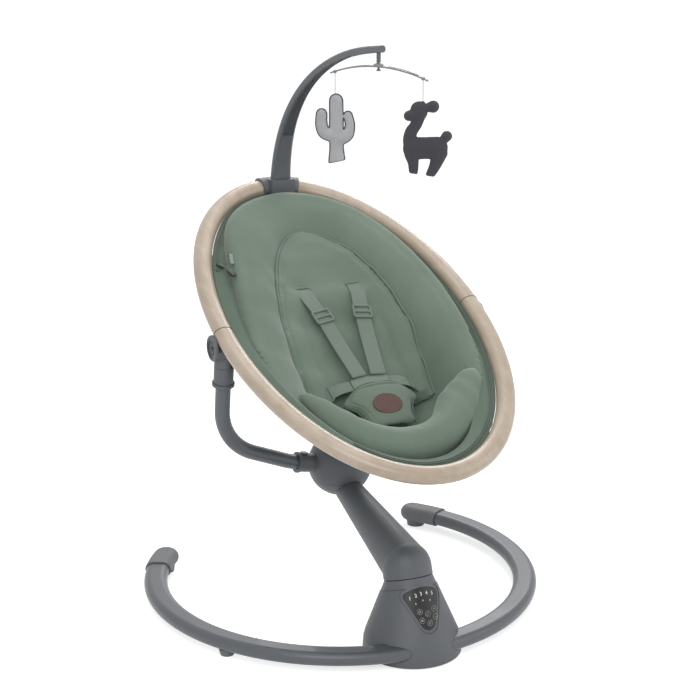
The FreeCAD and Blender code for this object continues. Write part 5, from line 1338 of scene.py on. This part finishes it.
# ============================================================ harness
@dataclass
class Harness:
    """Straps with their slides, the buckle, the crotch pad with its patch, and the strap slots with their
    painted shade.

    Knots, places and the crotch pad's outline are in millimetres.
    """

    shoulder: tuple[tuple[float, float, float], ...] = (
        (46, 98, -17), (45.5, 90, -9.5), (45, 80, -8), (35, 30, -14), (26, -26, -27), (16, -91, -39))
    hip: tuple[tuple[float, float, float], ...] = (
        (90, -107, -78), (84, -106, -70), (74, -104, -60), (56, -103, -49), (34, -103, -45))
    crotch: tuple[tuple[float, float, float], ...] = (
        (0, -172, -94), (0, -166, -78), (0, -158, -60), (0, -150, -48))
    webbing: float = 25.0 * MM
    hip_webbing: float = 22.0 * MM
    adjuster: tuple[float, float, float] = (34.5, 27.0, -12.4)
    adjuster_size: tuple[float, float] = (33.0 * MM, 27.0 * MM)
    adjuster_bar: float = 2.2 * MM
    hip_slide: tuple[float, float, float] = (73.0, -104.0, -58.0)
    hip_slide_size: tuple[float, float] = (13.0 * MM, 31.0 * MM)
    hip_slide_bar: float = 1.7 * MM
    hip_slope: float = 0.8
    slot: tuple[float, float, float] = (46.0, 93.0, -9.5)
    slot_lip: tuple[tuple[float, float, float], ...] = (
        (-18, -3, -4), (-14, 0, 0), (0, 1.2, 0.8), (14, 0, 0), (18, -3, -4))
    slot_half: float = 16.0 * MM
    shield_v: tuple[float, ...] = (-196, -189, -169, -155, -145, -139, -134, -127, -120, -116.5, -114.5)
    shield_x: tuple[float, ...] = (30, 38, 42, 48, 57, 61.5, 60, 50, 38, 30, 20)
    shield_level: float = -128.0 * MM
    shield_rest: float = -35.1 * MM
    shield_slope: float = 0.2
    shield_wings: float = 15.0 * MM
    shield_half: float = 62.0 * MM
    shield_ends: tuple[float, float] = (9.0 * MM, 7.0 * MM)
    thickness: float = 5.5 * MM
    puff: float = 1.0 * MM
    seam_in: float = 9.0 * MM
    seam_depth: float = 1.7 * MM
    stitch_in: float = 7.0 * MM
    badge_v: float = -160.0 * MM
    badge_half: tuple[float, float] = (23.8 * MM, 18.8 * MM)
    badge_seam: tuple[float, float] = (21.6 * MM, 16.6 * MM)
    badge_height: float = 0.9 * MM

    def half(self, v: Array) -> Array:
        """Half width of the crotch pad at length v."""
        return np.interp(v, np.array(self.shield_v) * MM, np.array(self.shield_x) * MM)

    def middle(self, x: Array, v: Array) -> Array:
        """Height of the crotch pad's middle surface: a slope that falls away to the sides."""
        slope = (v - self.shield_level) * self.shield_slope
        return self.shield_rest + slope - self.shield_wings * (x / self.shield_half) ** 2

    def shield(self) -> bpy.types.Object:
        """The crotch pad: its plan filled row by row, closed underneath, swollen and seamed."""
        low, high = self.shield_v[0] * MM, self.shield_v[-1] * MM
        v = np.linspace(self.shield_v[0], self.shield_v[-1], 90)[:, None] * MM
        out = np.sin(np.linspace(-np.pi / 2, np.pi / 2, 60))
        x = self.half(v) * out
        v = np.broadcast_to(v, x.shape)
        at_foot, at_head = self.shield_ends
        ends = np.clip((v - low) / at_foot, 0, 1) * np.clip((high - v) / at_head, 0, 1)
        fall = np.sqrt(np.clip(1 - out**6, 0, 1)) * np.sqrt(np.clip(1 - (1 - ends) ** 2, 0, 1))
        over = self.middle(x, v) + (self.thickness - self.puff) * fall
        under = self.middle(x, v) - (self.thickness - self.puff) * fall
        points = np.concatenate([SEAT.place(x, v, over), SEAT.place(x, v, under)[:, ::-1][:, 1:-1]], axis=1)
        piece = closed_ends(tidy(surface("crotch_pad_cover", points, wrap_columns=True)))
        piece = Puff(2.4 * MM, 2.2 * MM)(piece)

        def seam(points: Array, normal: Array) -> Array:
            """Sinks a line inside the edge and adds fine folds."""
            x, v, _ = SEAT.local(points).T
            up = np.clip(normal @ SEAT.over, 0, 1)
            edge = np.minimum(self.half(v) - np.abs(x), high - v)
            line = -self.seam_depth * bump(edge, self.seam_in, 1.6 * MM) * eased(v, -190 * MM, -170 * MM)
            return points + normal * ((line + 0.25 * MM * wrinkle(points, 0.05, 6)) * up)[:, None]

        return shaped(piece, seam)

    def border(self, inset: float, low: float) -> Array:
        """A line round the crotch pad, inset from its edge, open at the foot end."""
        v = np.linspace(low, self.shield_v[-1] * MM - inset, 160)
        x = np.clip(self.half(v) - inset, 2 * MM, None)
        right = np.stack([x, v], -1)
        line = np.concatenate([right, right[::-1] * (-1, 1)])
        step = np.r_[0, np.cumsum(np.linalg.norm(np.diff(line, axis=0), axis=1))]
        t = np.linspace(0, step[-1], 260)
        line = np.stack([np.interp(t, step, line[:, k]) for k in (0, 1)], -1)
        for _ in range(6):
            line[1:-1] = (line[:-2] + line[1:-1] + line[2:]) / 3
        return line

    def on_shield(self, line: Array, lift: float) -> Array:
        """Lays a line of (x, v) on the crotch pad's upper side."""
        x, v = line.T
        return SEAT.place(x, v, self.middle(x, v) + lift)

    def build_side(self, paint: Paint, side: Side) -> None:
        """One side's shoulder and hip straps, its hip slide, and its strap slot's binding with painted shade
        inside the slot.
        """
        sign, mirror = side.value, side is Side.LEFT
        strap = ribbon("shoulder_webbing_" + side.word, self.shoulder, self.webbing, mirror=mirror)
        wear(strap, paint.strap, "webbing", "seat", "shoulder_strap_" + side.word)
        strap = ribbon("hip_webbing_" + side.word, self.hip, self.hip_webbing, mirror=mirror)
        wear(strap, paint.strap, "webbing", "seat", "hip_strap_" + side.word)
        x, v, w = (value * MM for value in self.hip_slide)
        loop = ladder("hip_slide_" + side.word, *self.hip_slide_size, 2, self.hip_slide_bar)
        loop = shaped(set_on(loop, sign * x, v, w), lambda points, _: self.leaned(points, sign))
        wear(loop, paint.sage, "sage_plastic", "seat")
        x, v, w = (value * MM for value in self.slot)
        lip = smooth_path(np.array(self.slot_lip) * MM, 40)
        lip = SEAT.place(sign * x + lip[:, 0], v + lip[:, 1], w + lip[:, 2])
        binding = tube("slot_binding_" + side.word, lip, 1.9 * MM, SEAT.over)
        wear(binding, paint.cushion, "insert_fabric", "seat")
        # The dark cord just under the binding is painted shade inside the strap slot; no opening is cut.
        across = np.linspace(-self.slot_half, self.slot_half, 12)
        dark = SEAT.place(sign * x + across, v - 2.6 * MM, w - 1.5 * MM)
        wear(tube("slot_opening_" + side.word, dark, 1.6 * MM, SEAT.over), paint.zipper, "zip_dark", "seat")

    def leaned(self, points: Array, sign: int) -> Array:
        """Leans a hip slide with its strap, which falls outwards: w drops with x by the hip's slope."""
        x, v, w = SEAT.local(points).T
        return SEAT.place(x, v, w - self.hip_slope * (sign * x - self.hip_slide[0] * MM))

    def build_adjusters(self, paint: Paint) -> None:
        """The two slides on the shoulder straps, as one piece."""
        path = smooth_path(np.array(self.shoulder) * MM, 200)
        _, v, w = (value * MM for value in self.adjuster)
        near = int(np.argmin(np.abs(path[:, 1] - v)))
        ahead = path[near + 3] - path[near - 3]
        slope = math.atan2(-ahead[2], np.hypot(ahead[0], ahead[1]))
        turn = math.atan2(-ahead[0], -ahead[1])
        slides = []
        for side in (Side.RIGHT, Side.LEFT):
            slide = ladder("slide", *self.adjuster_size, 3, self.adjuster_bar)
            slides.append(set_on(slide, side.value * path[near, 0], v, w, slope, -side.value * turn))
        wear(joined("shoulder_slides", slides), paint.sage, "sage_plastic", "seat", "strap_adjusters")

    def build_shield(self, paint: Paint) -> None:
        """The crotch pad with its piping and its row of stitches."""
        shield = wear(self.shield(), paint.cushion, "insert_fabric", "seat", "crotch_pad")
        edge = self.on_shield(self.border(0.2 * MM, -190 * MM), 0.6 * MM)
        wear(tube("crotch_pad_piping", edge, 1.5 * MM, SEAT.over), paint.piping, "insert_fabric", "seat")
        row = self.on_shield(self.border(self.stitch_in, -172 * MM), self.thickness + 1.1 * MM)
        wear(stitches("crotch_pad_stitching", row, SEAT.over), paint.thread, "insert_fabric", "seat")

    def build_badge(self, paint: Paint) -> None:
        """The bare patch on the crotch pad and the stitches round it."""
        at = self.badge_v
        height = float(self.middle(np.zeros(1), np.array([at]))[0]) + self.thickness + self.badge_height
        patch = domed("badge_patch", *self.badge_half, self.badge_height, 2.0, 9.0, -0.25 * MM)
        patch = set_on(patch, 0, at, height, math.atan(self.shield_slope))
        wear(patch, paint.hide, "badge_brown", "seat", "badge")
        turn = np.linspace(0, 2 * np.pi, 120)
        x, v = self.badge_seam[0] * np.cos(turn), self.badge_seam[1] * np.sin(turn)
        row = SEAT.place(x, at + v, height + v * self.shield_slope + 0.7 * MM)
        thread = stitches("badge_stitching", row, SEAT.over, 2.6 * MM, 0.62, 0.3 * MM)
        wear(thread, paint.zipper, "badge_brown", "seat")

    def build(self, paint: Paint) -> None:
        """Makes and dresses the whole harness."""
        for side in (Side.RIGHT, Side.LEFT):
            self.build_side(paint, side)
        self.build_adjusters(paint)
        strap = ribbon("crotch_webbing", self.crotch, self.webbing)
        wear(strap, paint.strap, "webbing", "seat", "crotch_strap")
        buckle = domed("buckle_body", 34 * MM, 20 * MM, 4 * MM, 5.0, 5.0, 0.7 * MM)
        wear(set_on(buckle, 0, -108 * MM, -45 * MM), paint.sage, "sage_plastic", "seat", "buckle")
        self.build_shield(paint)
        self.build_badge(paint)


# ============================================================ zip
@dataclass
class ZipTrim:
    """Band between ring and pad with its zip, the slider and its tape, toggle and blank label.

    The tape's and the label's knots are (x, v, w) in millimetres, and so are the slider's and the
    toggle's places.
    """

    first: float = math.radians(153)
    last: float = math.radians(-126)
    outer: float = 1.2 * MM
    inner: float = 46.0 * MM
    foot_narrower: float = 21.0 * MM
    cloth: float = 1.2 * MM
    start: float = 0.6 * MM
    fall: float = 5.0 * MM
    left_fall: float = 13.0 * MM
    ripple: float = 0.35 * MM
    ripples: int = 23
    edge_inset: float = 2.2 * MM
    slider: tuple[float, float, float] = (-161.0, 160.0, 2.2)
    slider_turn: float = math.radians(26)
    toggle: tuple[float, float, float] = (-157.0, 123.0, 16.3)
    toggle_turn: float = math.radians(16)
    tape: tuple[tuple[float, float, float], ...] = (
        (-161, 162, 3.6), (-159, 152, 6.5), (-157.5, 140, 12), (-157, 128, 14.5))
    label: tuple[tuple[float, float, float], ...] = (
        (-140, 176, 9), (-142, 168, 16), (-146, 155, 18), (-149, 142, 18.5))

    def band(self) -> bpy.types.Object:
        """The band as a thin closed skin: it falls towards the pad, most on the left, with soft ripples."""
        turn = np.linspace(0, 2 * np.pi, 300, endpoint=False)
        angle = np.degrees(turn)
        share = np.linspace(0, 1, 40)[:, None]
        inner = self.inner - self.foot_narrower * bump(angle, 270, 52)
        x, v = SEAT.oval(turn, self.outer + (inner - self.outer) * share)
        depth = self.fall + self.left_fall * bump(angle, 212, 36)
        waves = np.sin(turn * self.ripples + np.sin(turn * 5) * 2) * bump(share, 0.35, 0.2)
        height = -self.start - depth * eased(share, 0.3, 1.0) + self.ripple * waves
        over = SEAT.place(x, v, height)
        under = SEAT.place(x, v, height - self.cloth)
        points = np.concatenate([over, under[::-1]])
        return tidy(surface("zip_band_cloth", points, wrap_rows=True, wrap_columns=True))

    def line(self, inset: float, lift: float, first: float, last: float, count: int = 320) -> Array:
        """A line along the band from one angle to another."""
        turn = np.linspace(first, last, count)
        x, v = SEAT.oval(turn, inset)
        return SEAT.place(x, v, np.full(count, lift))

    def build_zip(self, paint: Paint) -> None:
        """The piping, the tape's edge and the coil along the open run, and the piping of the closed run."""
        for name, inset, radius, finish in (
            ("ring_side_piping", self.edge_inset, 1.0 * MM, paint.piping),
            ("zip_tape_edge", 5.4 * MM, 0.7 * MM, paint.liner),
            ("zip_coil", 8.2 * MM, 1.25 * MM, paint.coil_teeth),
            ("pad_side_piping", 11.6 * MM, 0.8 * MM, paint.piping),
        ):
            path = self.line(inset, 0.2 * MM, self.first, self.last)
            wear(tube(name, path, radius, SEAT.over, 8, 0.8), finish, "liner_fabric", "seat")
        rest = self.line(self.edge_inset, 0.1 * MM, self.first, 2 * np.pi + self.last)
        piping = tube("ring_side_piping_closed", rest, 0.9 * MM, SEAT.over, 8, 0.8)
        wear(piping, paint.piping, "liner_fabric", "seat")

    def build(self, paint: Paint) -> None:
        """Makes and dresses the band, the zip, its slider and pull, and the label."""
        wear(self.band(), paint.liner, "liner_fabric", "seat", "zip_band")
        self.build_zip(paint)
        slider = domed("zip_slider_body", 3.6 * MM, 7.2 * MM, 1.7 * MM, 3.0, 4.0, 0.4 * MM)
        slider = set_on(slider, *(value * MM for value in self.slider), turn=self.slider_turn)
        wear(slider, paint.zipper, "zip_dark", "seat", "zip_slider")
        tape = ribbon("zip_pull_tape", self.tape, 3.2 * MM, 0.9 * MM)
        wear(tape, paint.zipper, "zip_dark", "seat")
        toggle = domed("zip_toggle_grip", 5 * MM, 8.6 * MM, 2.5 * MM, 3.2, 4.0, 0.5 * MM)
        toggle = set_on(toggle, *(value * MM for value in self.toggle), turn=self.toggle_turn)
        wear(toggle, paint.zipper, "zip_dark", "seat", "zip_toggle")
        label = ribbon("blank_label", self.label, 6 * MM, 0.6 * MM)
        wear(label, paint.label, "webbing", "seat")


# ============================================================ mobile
@dataclass
class Toy:
    """A flat padded toy of round limbs, hung from the mobile by its string.

    Each limb is a row of (x, z, radius) in millimetres under the end of the string; foot is the height
    and the slope of its flat lower end.
    """

    name: str
    hang: tuple[float, float, float]
    limbs: tuple[tuple[tuple[float, float, float], ...], ...]
    foot: tuple[float, float]
    heading: float = math.radians(-26)
    string_length: float = 31.0 * MM
    string_width: float = 1.2 * MM
    thickness: float = 12.0 * MM
    voxel: float = 1.2 * MM
    swelling: float = 0.5 * MM
    pressure: float = 2.0
    piping: float = 1.5 * MM

    @property
    def string_end(self) -> Array:
        """The lower end of the string."""
        return np.array(self.hang) * MM - (0, 0, self.string_length)

    @property
    def across(self) -> Array:
        """The direction of the toy's width."""
        return np.array([math.cos(self.heading), math.sin(self.heading), 0.0])

    @property
    def normal(self) -> Array:
        """The direction of the toy's thickness."""
        return np.array([-math.sin(self.heading), math.cos(self.heading), 0.0])

    def string(self, finish: bpy.types.Material, node: str) -> None:
        """The cord that it hangs on: one limp straight stretch from the bar's eye to the toy."""
        top = np.array(self.hang) * MM
        drop = np.array([0, 0, -self.string_length])
        data = bpy.data.curves.new(node + "_cord", "CURVE")
        data.dimensions = "3D"
        line = data.splines.new("NURBS")
        line.points.add(2)
        for point, place in zip(line.points, (top, top + drop / 2, top + drop)):
            point.co = (*place, 1.0)
        line.order_u = 3
        line.use_endpoint_u = True
        data.bevel_depth = self.string_width / 2
        data.use_fill_caps = True
        cord = bpy.data.objects.new(node + "_cord", data)
        bpy.context.scene.collection.objects.link(cord)
        wear(cord, finish, "string_pale", self.name, node)

    def limb(self, knots: tuple[tuple[float, float, float], ...]) -> bpy.types.Object:
        """One limb: a smooth path whose ends are rounded off, flattened to the toy's thickness."""
        line = smooth_path(np.array(knots) * MM, 30)
        bend = np.sin(np.linspace(-np.pi / 2, 0, 9))[:-1]
        ends = []
        for tip, inner, share in ((line[0], line[1], bend), (line[-1], line[-2], bend[::-1])):
            ahead = (inner - tip)[:2] / np.linalg.norm((inner - tip)[:2])
            place = tip[:2] + ahead * share[:, None] * tip[2]
            ends.append(np.concatenate([place, tip[2] * np.sqrt(1 - share[:, None] ** 2)], 1))
        line = np.concatenate([ends[0], line, ends[1]])
        path = self.string_end + line[:, :1] * self.across + line[:, 1:2] * np.array([0, 0, 1.0])
        flat = min(1.0, self.thickness / 2 / line[:, 2].max())
        return tube("limb", path, np.maximum(line[:, 2], 0.1 * MM), self.normal, 28, flat)

    def build(self, finish: bpy.types.Material, slot: str, node: str) -> None:
        """Melts the limbs into one padded piece, cuts its feet flat and blows it up a little."""
        piece = melted(joined(node + "_padded", [self.limb(knots) for knots in self.limbs]), self.voxel)
        base = self.string_end

        def cut(points: Array, _: Array) -> Array:
            """Presses what hangs below the flat foot up to it."""
            x = (points - base) @ self.across
            low = base[2] + self.foot[0] * MM + self.foot[1] * x
            return np.stack([points[:, 0], points[:, 1], np.maximum(points[:, 2], low)], -1)

        piece = Puff(self.voxel, self.swelling, self.pressure)(shaped(piece, cut))

        def quilt(points: Array, normal: Array) -> Array:
            """Raises the piping round the middle plane and adds small folds."""
            away = (points - base) @ self.normal
            sideways = 1 - np.abs(normal @ self.normal)
            seam = self.piping * bump(away, 0, 1.1 * MM) * eased(sideways, 0.2, 0.7)
            return points + normal * (seam + 0.22 * MM * wrinkle(points, 0.03, 12))[:, None]

        wear(shaped(piece, quilt), finish, slot, self.name, node)


CACTUS = Toy("cactus", (-26.77, -1.07, 856.1), (
    ((1.4, -10.4, 10), (1.9, -55.7, 10.4), (2, -85.4, 10.4), (2.8, -103.9, 12.4)),
    ((-20.4, -30.2, 7.8), (-20.8, -46.4, 8.4), (-16.7, -58, 8.8), (-4.6, -62.6, 10.2)),
    ((19.3, -32.5, 6.4), (22.2, -48, 7), (18, -62, 8.6), (6, -68.5, 10)),
), (-102.6, 0.21))
LLAMA = Toy("llama", (56.77, -124.93, 856.1), (
    ((0, -5.6, 2.8), (0, -2.4, 2.4)),
    ((-5.6, -12.2, 11.7), (-6, -15.8, 11.7)),
    ((-9.3, -17.6, 7), (-20.4, -20.9, 6.5)),
    ((4.6, -9.3, 4.6), (14.7, -7.4, 8)),
    ((-7, -22.3, 9.7), (-9.7, -33.4, 7.8), (-17.2, -45.5, 8.2), (-18.4, -57.5, 9.7), (-13, -68.7, 13.9)),
    ((-11.9, -69.1, 16), (4.6, -68.7, 15.4), (20.4, -68.7, 16)),
    ((-15.8, -78, 9.7), (-13.5, -90.9, 6.9), (-13, -105.8, 5.6)),
    ((25.1, -76.1, 11.1), (19, -94.7, 7.6), (10.2, -112.3, 5.2)),
    ((31.6, -55.7, 5.6), (35.6, -51, 6.7)),
), (-107.6, -0.15))


# ============================================================ seat shell
@dataclass
class Shell:
    """The cloth bowl under the seat: half an ellipsoid with sewn gores and gathers under the ring."""

    half_x: float = 197.6 * MM
    half_v: float = 336.1 * MM
    depth: float = 120.0 * MM
    rim: float = -2.4 * MM
    wall: float = 3.0 * MM
    gores: int = 6
    seam_depth: float = 1.6 * MM
    gather_depth: float = 0.9 * MM
    gathers: int = 62
    slack_depth: float = 1.3 * MM

    def bowl(self, shrink: float, folds: bool) -> Array:
        """Points of one side of the cloth, from its rim down to its lowest point.

        A gore's seam draws the cloth in by a narrow groove, the gathers ripple it near the rim, and
        broad slack folds run between them.

        Args:
            shrink: how far this side lies inside the outer one.
            folds: whether it has the seams, gathers and slack.

        Returns:
            80 rows of 400 points.
        """
        turn = np.linspace(0, 2 * np.pi, 400, endpoint=False)
        share = np.cos(np.linspace(0, np.pi / 2, 80))[:, None]
        down = np.sqrt(1 - share**2)
        x = (self.half_x - shrink) * share * np.cos(turn)
        v = (self.half_v - shrink) * share * np.sin(turn)
        deep = (self.depth - shrink) * down * np.ones_like(turn)
        if folds:
            seam = bump(np.sin(turn * self.gores / 2), 0, 0.035) * eased(share, 0.05, 0.3)
            gather = (0.5 + 0.5 * np.sin(turn * self.gathers + 2 * np.sin(turn * 7))) * bump(down, 0.1, 0.12)
            slack = (0.5 + 0.5 * np.sin(turn * 9 + 5 * down + np.sin(turn * 4))) * bump(share, 0.72, 0.22)
            drawn = self.seam_depth * seam + self.gather_depth * gather + self.slack_depth * slack
            pull = 1 - drawn / self.depth
            x, v, deep = x * pull, v * pull, deep * pull
        return SEAT.place(x, v, self.rim - deep)

    def build(self, paint: Paint) -> None:
        """Makes and dresses the bowl with its wall."""
        points = np.concatenate([self.bowl(0.0, True), self.bowl(self.wall, False)[::-1]])
        piece = tidy(surface("seat_shell_cloth", points, wrap_rows=True, wrap_columns=True))
        wear(piece, paint.shell, "seat_fabric", "seat", "seat_shell")


# ============================================================ panel
@dataclass
class Panel:
    """Prints on the dark control panel: numerals, small lights and the keys with their signs."""

    numerals: tuple[tuple[str, float, float], ...] = (
        ("1", -20.6, 98.9), ("2", -11.3, 102.6), ("3", -3.1, 104.4), ("4", 6.4, 104.1), ("5", 16.6, 101.5))
    keys: tuple[tuple[float, float], ...] = (
        (-10.5, 81.1), (1.4, 76.8), (13.9, 81.5), (13.5, 70.9), (-9.6, 69.0), (2.4, 64.6))
    lights: tuple[tuple[float, float], ...] = ((-13.8, 92.0), (-2.1, 95.5), (10.0, 93.9))
    numeral_size: float = 6.8 * MM
    numeral_bold: float = 0.14 * MM
    line: float = 0.42 * MM
    raised: float = 0.4 * MM
    light_radius: float = 0.9
    key_radius: float = 4.1
    facing: float = -0.25

    def __post_init__(self) -> None:
        """Fits the panel's front by least squares: y is a polynomial in x and z."""
        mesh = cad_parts["control_panel"].data
        centre = np.empty(len(mesh.polygons) * 3)
        normal = np.empty(len(mesh.polygons) * 3)
        mesh.polygons.foreach_get("center", centre)
        mesh.polygons.foreach_get("normal", normal)
        centre, normal = centre.reshape(-1, 3), normal.reshape(-1, 3)
        front = centre[normal[:, 1] < self.facing]
        self.fit = np.linalg.lstsq(self.terms(front[:, 0], front[:, 2]), front[:, 1], rcond=None)[0]

    @staticmethod
    def terms(x: Array, z: Array) -> Array:
        """The terms of the fitted front."""
        return np.stack([np.ones_like(x), x, z, x * x, z * z, x * z, x**3, x * x * z], -1)

    def on_panel(self, points: Array, x: float, z: float) -> Array:
        """Lays flat (across, up) points on the panel round (x, z), their third value as height."""
        across, up = points[:, 0] + x * MM, points[:, 1] + z * MM
        return np.stack([across, self.terms(across, up) @ self.fit - self.raised - points[:, 2], up], -1)

    def stroke(self, line: Array, x: float, z: float, closed: bool = False,
               width: float = 1.0) -> bpy.types.Object:
        """A printed line: a flat tube along (across, up) points in millimetres."""
        flat = np.concatenate([line * MM, np.zeros((len(line), 1))], 1)
        path = self.on_panel(flat, x, z)
        return tube("stroke", path, self.line / 2 * width, (0.02, -1.0, 0.01), 6, 0.25, closed)

    @staticmethod
    def arc(radius: float, first: float = 0.0, last: float = 360.0, count: int = 32,
            flat: float = 1.0) -> Array:
        """Points of an arc round the origin, in millimetres."""
        turn = np.radians(np.linspace(first, last, count, endpoint=last - first < 360))
        return np.stack([radius * np.cos(turn), radius * flat * np.sin(turn)], -1)

    def numeral(self, text: str, x: float, z: float) -> bpy.types.Object:
        """One numeral as a thin raised mesh, centred on its place."""
        data = bpy.data.curves.new("numeral", "FONT")
        data.body = text
        data.size = self.numeral_size
        data.align_x = data.align_y = "CENTER"
        data.extrude = 0.03 * MM
        data.offset = self.numeral_bold
        source = bpy.data.objects.new("numeral", data)
        bpy.context.scene.collection.objects.link(source)
        graph = bpy.context.evaluated_depsgraph_get()
        mesh = bpy.data.meshes.new_from_object(source.evaluated_get(graph))
        bpy.data.objects.remove(source)
        piece = bpy.data.objects.new("numeral_" + text, mesh)
        bpy.context.scene.collection.objects.link(piece)
        return shaped(piece, lambda points, _: self.on_panel(points, x, z))

    def marks(self) -> list[bpy.types.Object]:
        """The generic signs on the six keys."""
        power = [(self.arc(1.5, 125, 415), False), (np.array([[0, 0.6], [0, 1.9]]), False)]
        more = [(np.array([[-1.4, 0], [1.4, 0]]), False), (np.array([[0, -1.4], [0, 1.4]]), False)]
        less = [(np.array([[-1.4, 0], [1.4, 0]]), False)]
        wave = np.linspace(-1.7, 1.7, 20)
        waves = [(np.stack([wave, 0.6 * np.sin(wave * 3.2) + lift], -1), False) for lift in (-0.7, 0.7)]
        swing = [(self.arc(1.9, 215, 325), False), (np.array([[-1.5, 0.9], [1.5, 0.9]]), False)]
        turning = [(self.arc(1.4, 20, 330), False)]
        made = []
        for (x, z), sign in zip(self.keys, (power, swing, more, less, waves, turning)):
            made += [self.stroke(line, x, z, closed) for line, closed in sign]
            made.append(self.stroke(self.arc(self.key_radius, flat=0.92), x, z, True, 0.6))
        return made

    def build(self, paint: Paint) -> None:
        """Prints the numerals, the small lights and the keys with their signs."""
        numerals = [self.numeral(*item) for item in self.numerals]
        wear(joined("panel_numerals", numerals), paint.ink, None, "base")
        icons = [self.stroke(self.arc(self.light_radius), x, z, True, 1.3) for x, z in self.lights]
        wear(joined("panel_icons", icons + self.marks()), paint.ink, None, "base")


# ============================================================ ring joints and pivot caps
@dataclass
class PivotTrim:
    """The ring's parting lines, and a dark ring of painted groove shade and a small dark mark on each round
    pivot cap.
    """

    groove: float = 0.62
    groove_shade_width: float = 0.45 * MM
    mark: float = 3.2 * MM
    mark_height: float = 0.35 * MM
    proud: float = 0.05 * MM
    parting: float = 4.0 * MM
    parting_width: float = 0.55 * MM
    ring_depth: float = 25.0 * MM

    def build_joints(self, paint: Paint) -> None:
        """Draws the dark parting line round the ring's section on each side."""
        turn = np.linspace(0, 2 * np.pi, 64, endpoint=False)
        for side in (Side.LEFT, Side.RIGHT):
            x = side.value * (SEAT.ring_x + (SEAT.ring_breadth / 2 + self.proud) * np.cos(turn))
            line = SEAT.place(x, self.parting, (self.ring_depth / 2 + self.proud) * np.sin(turn))
            loop = tube("ring_parting_" + side.word, line, self.parting_width, (0.03, 0.9, 0.4), 8, 1.0, True)
            wear(loop, paint.mark, "ring_wood_tone", "seat")

    def build_cap(self, paint: Paint, side: Side) -> None:
        """Lays a dark ring of painted groove shade and a mark on the outer face of one recline button."""
        button = "recline_button_" + side.word
        low, high = (np.array(corner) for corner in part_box(button))
        centre, half = (low + high) / 2, (high - low) / 2
        face = centre[0] + side.value * half[0]
        turn = np.linspace(0, 2 * np.pi, 72, endpoint=False)
        # The dark ring laid just proud of the face is painted shade of a groove; the face itself is not cut.
        radius = self.groove * min(half[1], half[2])
        ring = np.stack([np.full(72, face + side.value * self.proud), centre[1] + radius * np.cos(turn),
                         centre[2] + radius * np.sin(turn)], -1)
        groove = tube("cap_groove_" + side.word, ring, self.groove_shade_width, (1, 0.01, 0.02), 8, 0.5, True)
        wear(groove, paint.mark, "dark_plastic", button)

        def outwards(points: Array, _: Array) -> Array:
            """Turns the flat mark to face out of the cap."""
            return np.stack([face + side.value * points[:, 2], centre[1] + points[:, 0],
                             centre[2] + points[:, 1]], -1)

        dot = domed("cap_mark_" + side.word, self.mark, self.mark, self.mark_height, 2.0, 4.0)
        wear(tidy(shaped(dot, outwards)), paint.mark, "dark_plastic", button)

    def build(self, paint: Paint) -> None:
        """Makes and dresses the parting lines and both caps' trim."""
        self.build_joints(paint)
        for side in (Side.LEFT, Side.RIGHT):
            self.build_cap(paint, side)


def main() -> None:
    """Builds the studio, then every sub-assembly in order."""
    studio = Studio()
    studio.camera()
    paint = Paint()
    CACTUS.string(paint.string, "string_left")
    LLAMA.string(paint.string, "string_right")
    dress_frame(paint)
    Shell().build(paint)
    Cushions().build(paint)
    ZipTrim().build(paint)
    Harness().build(paint)
    CACTUS.build(paint.piped, "toy_grey", "cactus_toy")
    LLAMA.build(paint.charcoal, "toy_dark", "llama_toy")
    Panel().build(paint)
    PivotTrim().build(paint)
    studio.lights()
    studio.surroundings()


def dress_frame(paint: Paint) -> None:
    """Dresses the CAD nodes that keep their shape."""
    paint.dress(paint.tube, "hoop_tube_left", "hoop_tube_right", "side_arm_left", "side_arm_right")
    paint.dress(paint.cap, "hoop_end_cap_left", "hoop_end_cap_right", "hoop_mid_feet", "housing_pads")
    paint.dress(paint.housing, "housing_shell", "housing_collar", "neck_shell", "hub_cover",
                "arm_sleeve_left", "arm_sleeve_right", "pivot_housing_left", "pivot_housing_right",
                "toy_arm", "toy_arm_clamp", "ring_plugs")
    paint.dress(paint.dark, "lock_button_left", "lock_button_right", "recline_button_left",
                "recline_button_right", "power_inlet", "housing_base_plate")
    paint.dress(paint.panel, "control_panel")
    paint.dress(paint.board, "circuit_board")
    paint.dress(paint.cast, "core_bracket", "hub_bracket", "pivot_lugs")
    paint.dress(paint.steel, "spindle_bearings", "swing_spindle", "pivot_pins")
    paint.dress(paint.housing, "hanger_pin")
    paint.dress(paint.coil, "drive_coil")
    paint.dress(paint.magnet, "drive_magnet")
    paint.dress(paint.ring, "seat_ring_head", "seat_ring_foot")
    paint.dress(paint.pale, "mobile_bar")


if __name__ == "__main__":
    logging.basicConfig(level=logging.INFO, format="%(name)s: %(message)s")
    main()
